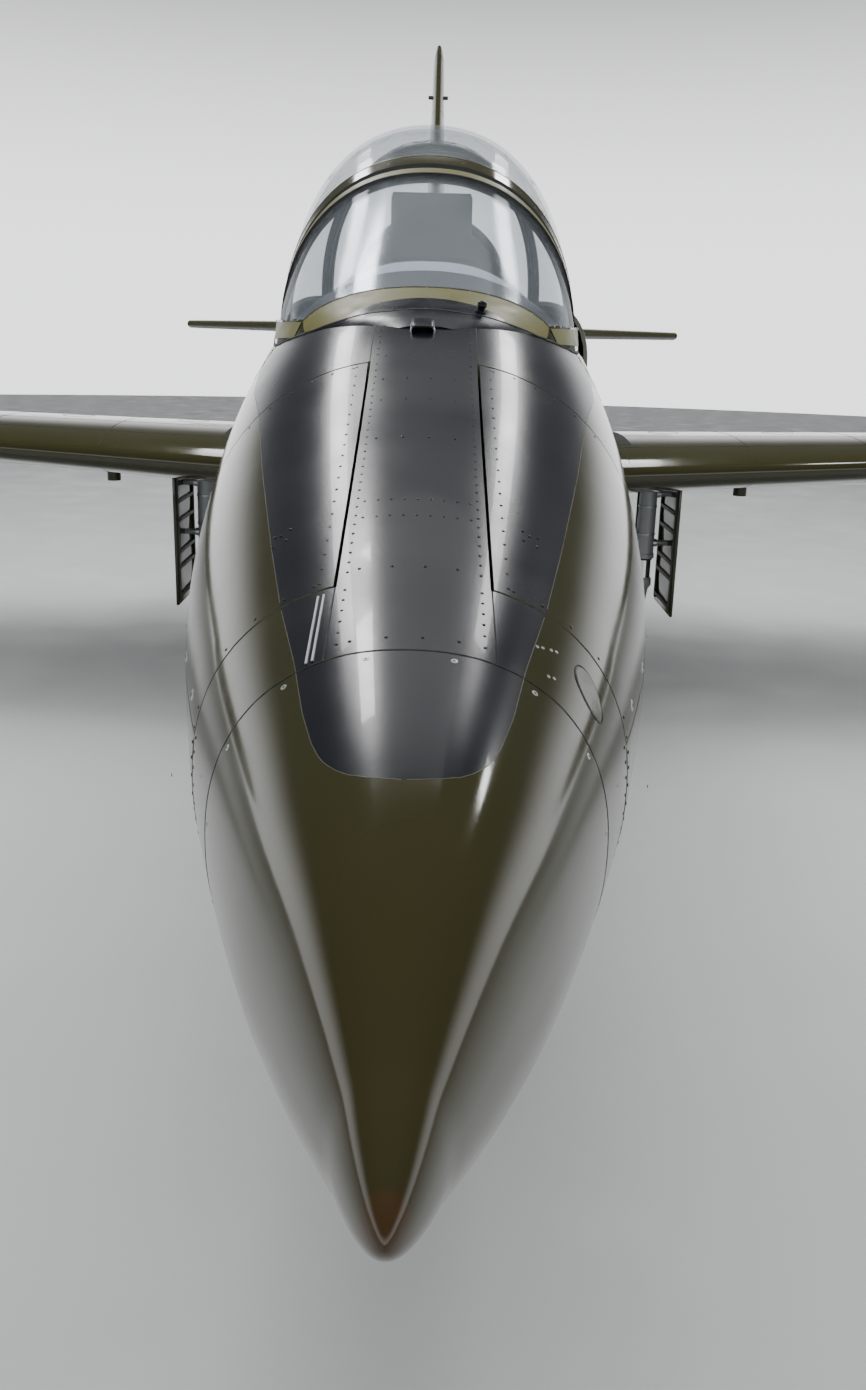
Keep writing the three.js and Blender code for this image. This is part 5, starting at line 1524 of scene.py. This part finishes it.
# Undercarriage doors with pressed stiffeners inside
for side_name, side in SIDES:
    refined(f"main_gear_door_{side_name}", [], PLAIN_EDGE, OLIVE, OLIVE, 0.004)
    refined(f"nose_gear_door_{side_name}", [], PLAIN_EDGE, OLIVE, OLIVE, 0.003)
    parts = []
    inner = side * 1.5752
    y0, y1 = TIP + 6.230, TIP + 6.760
    frame_in = [
        block(sorted((inner, inner - side * 0.010)), (y0 + 0.02, y0 + 0.045), (0.385, 1.20)),
        block(sorted((inner, inner - side * 0.010)), (y1 - 0.045, y1 - 0.02), (0.385, 1.20)),
        *[block(sorted((inner, inner - side * 0.012)), (y0 + 0.045, y1 - 0.045), (z - 0.011, z + 0.011))
          for z in (0.42, 0.60, 0.70, 0.90, 1.02, 1.185)],
    ]
    parts.append((joined(frame_in), PRIMER))
    spots = [(side * 1.5932, y0 + 0.02 + 0.049 * k, z) for k in range(11) for z in (0.385, 1.20)]
    spots += [(side * 1.5932, v, 0.385 + 0.0627 * k) for k in range(1, 13) for v in (y0 + 0.02, y1 - 0.02)]
    parts.append((domes(spots, [(side, 0, 0)] * len(spots), 0.0034, 0.0011), OLIVE))
    make(f"main_gear_door_{side_name}_ribs", "airframe", parts, bevel=0.0015, angle=35)
    parts = []
    inner = side * (0.1647 - 0.014)
    frame_in = [block(sorted((inner, inner - side * 0.006)), (TIP + 1.985, TIP + 2.365),
                      (z - 0.008, z + 0.008))
                for z in (0.665, 0.760, 0.850)]
    parts.append((joined(frame_in), PRIMER))
    for s in (2.11, 2.30):
        rod = [(side * 0.150, TIP + s, 0.90), (side * 0.150, TIP + s, 1.05)]
        parts.append((tube(rod, 0.008, 12), STEEL))
    make(f"nose_gear_door_{side_name}_ribs", "airframe", parts, bevel=0.001, angle=35)

# Wings, tail and aft body
WALK = surface_of("walkway", (0.010, 0.010, 0.010), (0.017, 0.017, 0.016), 0.85, bump=0.9, fine=600)
NAV_RED = surface_of("lamp_red", (0.30, 0.008, 0.006), (0.36, 0.012, 0.010), 0.08, coat=0.6, spread=0.03)
NAV_GREEN = surface_of("lamp_green", (0.006, 0.16, 0.045), (0.010, 0.20, 0.060), 0.08, coat=0.6, spread=0.03)


def line_on(run, width=0.003):
    """Panel line along a run of points and normals."""
    return ribbon(*run, width, 0.0006), LINE


def wick(tail, reach, fall):
    """Static wick on a trailing edge."""
    return tube([tail + Vector((0, -0.012, 0)), tail + Vector((0, reach, -fall))], [0.0035, 0.0018], 8), TRIM


for side_name, side in SIDES:
    parts = []
    for up in (1, -1):
        for part in (0.10, 0.22, 0.46, 0.655):
            parts.append(line_on(on_wing(side, spread(0.62, 4.30, 0.09), part, up)))
        for x in (1.05, 1.72, 2.39, 3.05, 3.60, 4.10):
            parts.append(line_on(on_wing(side, x, spread(0.02, 0.655, 0.02), up)))
        for x, part in ((1.38, 0.34), (2.05, 0.34), (2.72, 0.34), (3.32, 0.34), (2.05, 0.56), (3.32, 0.56)):
            around = np.linspace(0, 2 * math.pi, 29)
            cover = on_wing(side, x + 0.085 * np.cos(around), part + 0.052 * np.sin(around), up)
            parts.append(line_on(cover, 0.0026))
            parts.append((domes(cover[0][:-1:2], cover[1][:-1:2], 0.0034, 0.0011), OLIVE))
        for part in (0.235, 0.445, 0.475):
            run = on_wing(side, spread(0.70, 4.25, 0.085), part, up)
            parts.append((domes(run[0], run[1], 0.0030, 0.0009, 6), OLIVE))
    lead = on_wing(side, spread(2.45, 3.35, 0.05), 0.001, 1)
    parts.append((tube([tuple(p + (0, -0.002, 0)) for p in lead[0]], 0.0045, 8), TRIM))
    make(f"wing_{side_name}_marks", "airframe", parts, angle=50)
    # Walkway on the inner wing
    walk = [on_wing(side, spread(0.70, 1.10, 0.05), part, 1) for part in spread(0.12, 0.64, 0.03)]
    make(f"wing_{side_name}_walkway", "airframe", [
        (loft([p + n * 0.0008 for p, n in walk], closed=False, caps=False), WALK),
    ], angle=50)
    # Navigation lamp and fuel cap on the tank, with a clear lamp in its nose
    lamp_colour = NAV_RED if side > 0 else NAV_GREEN
    out_x = side * (TANK_X + 0.2085)
    make(f"tank_lamp_{side_name}", "airframe", [
        (turned([(0.030, -0.004), (0.029, 0.010), (0.022, 0.024), (0.010, 0.031), (0.0001, 0.033)],
                (out_x, TIP + TANK_FRONT + 1.45, TANK_HEIGHT), (side, 0, 0), 28), lamp_colour),
        (turned([(0.036, -0.006), (0.036, 0.003), (0.031, 0.005)],
                (out_x, TIP + TANK_FRONT + 1.45, TANK_HEIGHT),
                (side, 0, 0), 28), STEEL),
        (turned([(0.0001, -0.006), (0.030, -0.002), (0.042, 0.014), (0.060, 0.046)],
                (side * TANK_X, TIP + TANK_FRONT - 0.002, TANK_HEIGHT), (0, 1, 0), 36), LAMP),
    ], angle=60)
    parts = []
    for along in (0.42, 1.12, 1.85, 2.52):
        angle = np.linspace(0, 2 * math.pi, 49)
        radius = math.sqrt(float(between(TANK_SQUARED, 1, along)))
        p = np.column_stack((side * TANK_X + radius * np.cos(angle), np.full(49, TIP + TANK_FRONT + along),
                             TANK_HEIGHT + radius * np.sin(angle)))
        n = np.column_stack((np.cos(angle), np.zeros(49), np.sin(angle)))
        clear = np.flatnonzero(side * p[:, 0] > 4.37)
        for run in np.split(clear, np.flatnonzero(np.diff(clear) > 1) + 1):
            if len(run) > 2:
                parts.append(line_on((p[run], n[run])))
        parts.append((domes(p[clear[::2]], n[clear[::2]], 0.0034, 0.0010), OLIVE))
    parts.append((turned([(0.055, -0.006), (0.055, 0.003), (0.050, 0.005), (0.0001, 0.005)],
                         (side * TANK_X, TIP + TANK_FRONT + 1.35, TANK_HEIGHT + 0.2095), (0, 0, 1), 32),
                         STEEL))
    make(f"tip_tank_{side_name}_marks", "airframe", parts, angle=50)
    # Static wicks
    wicks = []
    for x in (2.75, 3.35, 3.95):
        tail = Vector((side * x, TIP + float(wing_lead(x) + wing_chord(x)),
                       float(wing_middle(np.array([x]), np.array([1.0]))[0])))
        wicks.append(wick(tail, 0.11, 0.004))
    make(f"aileron_{side_name}_wicks", BODY_OF[f"aileron_{side_name}"], wicks, angle=60)
    wicks = []
    for x in (1.35, 1.80, 2.22):
        tail = Vector((side * x, TIP + float(TAIL_LEAD + TAIL_SWEEP * x + tail_chord(x)), TAIL_HEIGHT))
        wicks.append(wick(tail, 0.09, 0.012))
    make(f"elevator_{side_name}_wicks", BODY_OF[f"elevator_{side_name}"], wicks, angle=60)
    parts = []
    for up in (1, -1):
        for part in (0.12, 0.36, 0.54):
            parts.append(line_on(on_tail(side, spread(0.36, 2.28, 0.08), part, up)))
        for x in (0.75, 1.25, 1.75):
            parts.append(line_on(on_tail(side, x, spread(0.02, 0.56, 0.02), up)))
    make(f"tailplane_{side_name}_marks", "airframe", parts, angle=50)
    # Intake: lip ring and splitter plate
    parts = []
    ring = []
    for i in range(41):
        angle = math.radians(-90 + 4.5 * i)
        c, q = math.cos(angle), math.sin(angle)
        ring.append((side * (0.640 + 0.279 * abs(c) ** (2 / 2.3)), TIP + 6.0835,
                     1.925 + 0.339 * signed_power(q, 2 / 2.3)))
    parts.append((tube(ring, 0.0125, 14), OLIVE))
    parts.append((block(sorted((side * 0.585, side * 0.592)), (TIP + 6.075, TIP + 6.36), (1.64, 2.20)),
                  OLIVE))
    make(f"intake_{side_name}_lip", "airframe", parts, bevel=0.001, angle=50)
    # Fin panel lines and the small aerials near its top
    parts = []
    for z in (2.75, 3.20, 3.65, 4.10):
        parts.append(line_on(on_fin(side, z, spread(0.03, 0.97, 0.03))))
    for part in (0.16, 0.55, 0.90):
        parts.append(line_on(on_fin(side, spread(2.55, 4.55, 0.07), part)))
    nub = on_fin(side, 4.29, 0.45)[0][0]
    parts.append((turned([(0.017, -0.004), (0.017, 0.028), (0.013, 0.036), (0.0001, 0.038)], nub,
                         (side, 0, 0), 24), TRIM))
    make(f"fin_{side_name}_marks", "airframe", parts, angle=50)
wicks = []
for z in (3.1, 3.7, 4.3):
    tail = float(np.interp(z, (2.06, 2.48, 4.64, 4.745), (12.0, 12.13, 11.96, 11.9)))
    wicks.append((tube([(0, TIP + tail - 0.012, z), (0, TIP + tail + 0.06, z)], [0.0035, 0.0018], 8), TRIM))
make("rudder_wicks", "rudder", wicks, angle=60)
# Beacons, blade aerials, jet pipe
def blade(y, z, chord, high, sweep, lean=1):
    rings = []
    for share, size in ((-0.05, 1.0), (0.3, 0.93), (0.7, 0.80), (0.95, 0.66), (1.0, 0.58)):
        ring = []
        for i in range(24):
            a = 2 * math.pi * i / 24
            ring.append((0.0075 * size * math.sin(a), y + sweep * share + chord * size * 0.5 * math.cos(a),
                         z + lean * high * share))
        rings.append(ring)
    return loft(rings if lean > 0 else rings[::-1])


spine_top = float(between(SPINE, 3, 7.75))
belly = float(body_size(5.2)[2])
make("aerials", "airframe", [
    (blade(TIP + 7.75, spine_top, 0.16, 0.20, 0.10), TRIM),
    (blade(TIP + 5.2, belly, 0.14, 0.16, 0.08, -1), TRIM),
    (blade(TIP + 8.9, float(body_size(8.9)[2]), 0.12, 0.13, 0.07, -1), TRIM),
], angle=50)
beacon = [(0.052, -0.010), (0.052, 0.014), (0.046, 0.018)]
dome_cover = [(0.045, 0.016), (0.044, 0.045), (0.036, 0.066), (0.020, 0.077), (0.0001, 0.080)]
for name, spot, way in (("upper", (0, TIP + 6.9, float(between(SPINE, 3, 6.9))), (0, 0, 1)),
                        ("lower", (0, TIP + 7.6, float(body_size(7.6)[2])), (0, 0, -1))):
    make(f"beacon_{name}", "airframe",
         [(turned(beacon, spot, way, 32), STEEL), (turned(dome_cover, spot, way, 32), NAV_RED)],
         angle=60)
make("tail_lamp", "rudder", [
    (turned([(0.016, -0.004), (0.015, 0.010), (0.009, 0.018), (0.0001, 0.020)], (0, TIP + 12.06, 3.05),
            (0, 1, 0), 20), LAMP),
], angle=60)
y, PIPE_HEIGHT = TIP + 8.810, 1.790
shell = [(0.2546, 0.002), (0.2546, 1.79), (0.2400, 2.12), (0.2385, 2.1215), (0.2365, 2.1200),
         (0.2262, 2.118), (0.2350, 1.79), (0.2350, 0.21)]
rear_disc = [(0.2350, 0.21), (0.185, 0.215), (0.0001, 0.215)]
cone = [(0.105, 0.216), (0.100, 0.36), (0.070, 0.56), (0.025, 0.72), (0.0001, 0.74)]
parts = [
    (turned(shell[:6], (0, y, PIPE_HEIGHT), (0, 1, 0), 72), HOT),
    (turned(shell[5:], (0, y, PIPE_HEIGHT), (0, 1, 0), 72), BURNT),
    (turned(rear_disc, (0, y, PIPE_HEIGHT), (0, 1, 0), 72), BURNT),
    (turned(cone, (0, y, PIPE_HEIGHT), (0, 1, 0), 48), HOT),
]
for k in range(6):
    a = 2 * math.pi * k / 6
    strut = [(0.10 * math.cos(a), y + 0.30, PIPE_HEIGHT + 0.10 * math.sin(a)),
             (0.234 * math.cos(a), y + 0.30, PIPE_HEIGHT + 0.234 * math.sin(a))]
    parts.append((tube(strut, 0.010, 10), HOT))
for d in (1.30, 1.79, 2.02):
    r = float(np.interp(d, (0, 1.79, 2.12), (0.2546, 0.2546, 0.24)))
    parts.append((turned([(r, -0.006), (r + 0.0012, -0.004), (r + 0.0012, 0.004), (r, 0.006)],
                         (0, y + d, PIPE_HEIGHT), (0, 1, 0), 72), BURNT))
make("tailpipe_shell", "airframe", parts, angle=40, replaces=("tailpipe",))
refined("engine", [], PLAIN_EDGE, HOT, HOT)

# Floor, sky and lights
FLOOR_RADIUS, FLOOR_SIDES = 34, 96
mesh = bpy.data.meshes.new("floor")
turns = [2 * math.pi * i / FLOOR_SIDES for i in range(FLOOR_SIDES)]
rim = [(FLOOR_RADIUS * math.cos(a), FLOOR_RADIUS * math.sin(a), 0) for a in turns]
mesh.from_pydata(rim, [], [tuple(range(FLOOR_SIDES))])
FLOOR = surface_of("pale_floor", (0.46, 0.47, 0.47), (0.50, 0.51, 0.51), 0.42, grain=0.7)
mesh.materials.append(FLOOR)
ground = linked("floor", mesh)
world = bpy.data.worlds.new("studio")
bpy.context.scene.world = world
world.use_nodes = True
sky = world.node_tree
way = sky.nodes.new("ShaderNodeTexCoord").outputs["Generated"]
heights = sky.nodes.new("ShaderNodeSeparateXYZ")
sky.links.new(way, heights.inputs[0])
dimmed = ranged(sky, heights.outputs["Z"], 0.06, 0.38, 0, 1, True)
sky.links.new(mixed(sky, dimmed, (0.95, 0.96, 0.97), (0.055, 0.056, 0.060)),
              sky.nodes["Background"].inputs["Color"])
sky.nodes["Background"].inputs["Strength"].default_value = 2.2


def softbox(name, where, aim, width, height, power, mirrored_too=True):
    light = bpy.data.lights.new(name, "AREA")
    light.shape = "RECTANGLE"
    light.size, light.size_y, light.energy = width, height, power
    lamp = linked(name, light)
    lamp.location = where
    lamp.rotation_mode = "QUATERNION"
    lamp.rotation_quaternion = (Vector(aim) - Vector(where)).to_track_quat("-Z", "Y")
    lamp.visible_glossy = mirrored_too


for side in (1, -1):
    softbox(f"light_over_{side}", (side * 2.2, 1.3, 6.5), (side * 2.2, 1.3, 0), 0.6, 3.2, 105)
softbox("light_fill", (0, -0.5, 9), (0, -0.5, 0), 13, 22, 2300, False)
softbox("spot_port", (4.4, -1.0, 6.5), (4.4, -1.0, 0), 0.6, 0.6, 32)
softbox("spot_starboard", (-1.5, -0.7, 6.5), (-1.5, -0.7, 0), 0.6, 1.0, 80)
softbox("light_aft", (0, -1.0, 6.6), (0, -1.0, 0), 3.0, 2.2, 22)
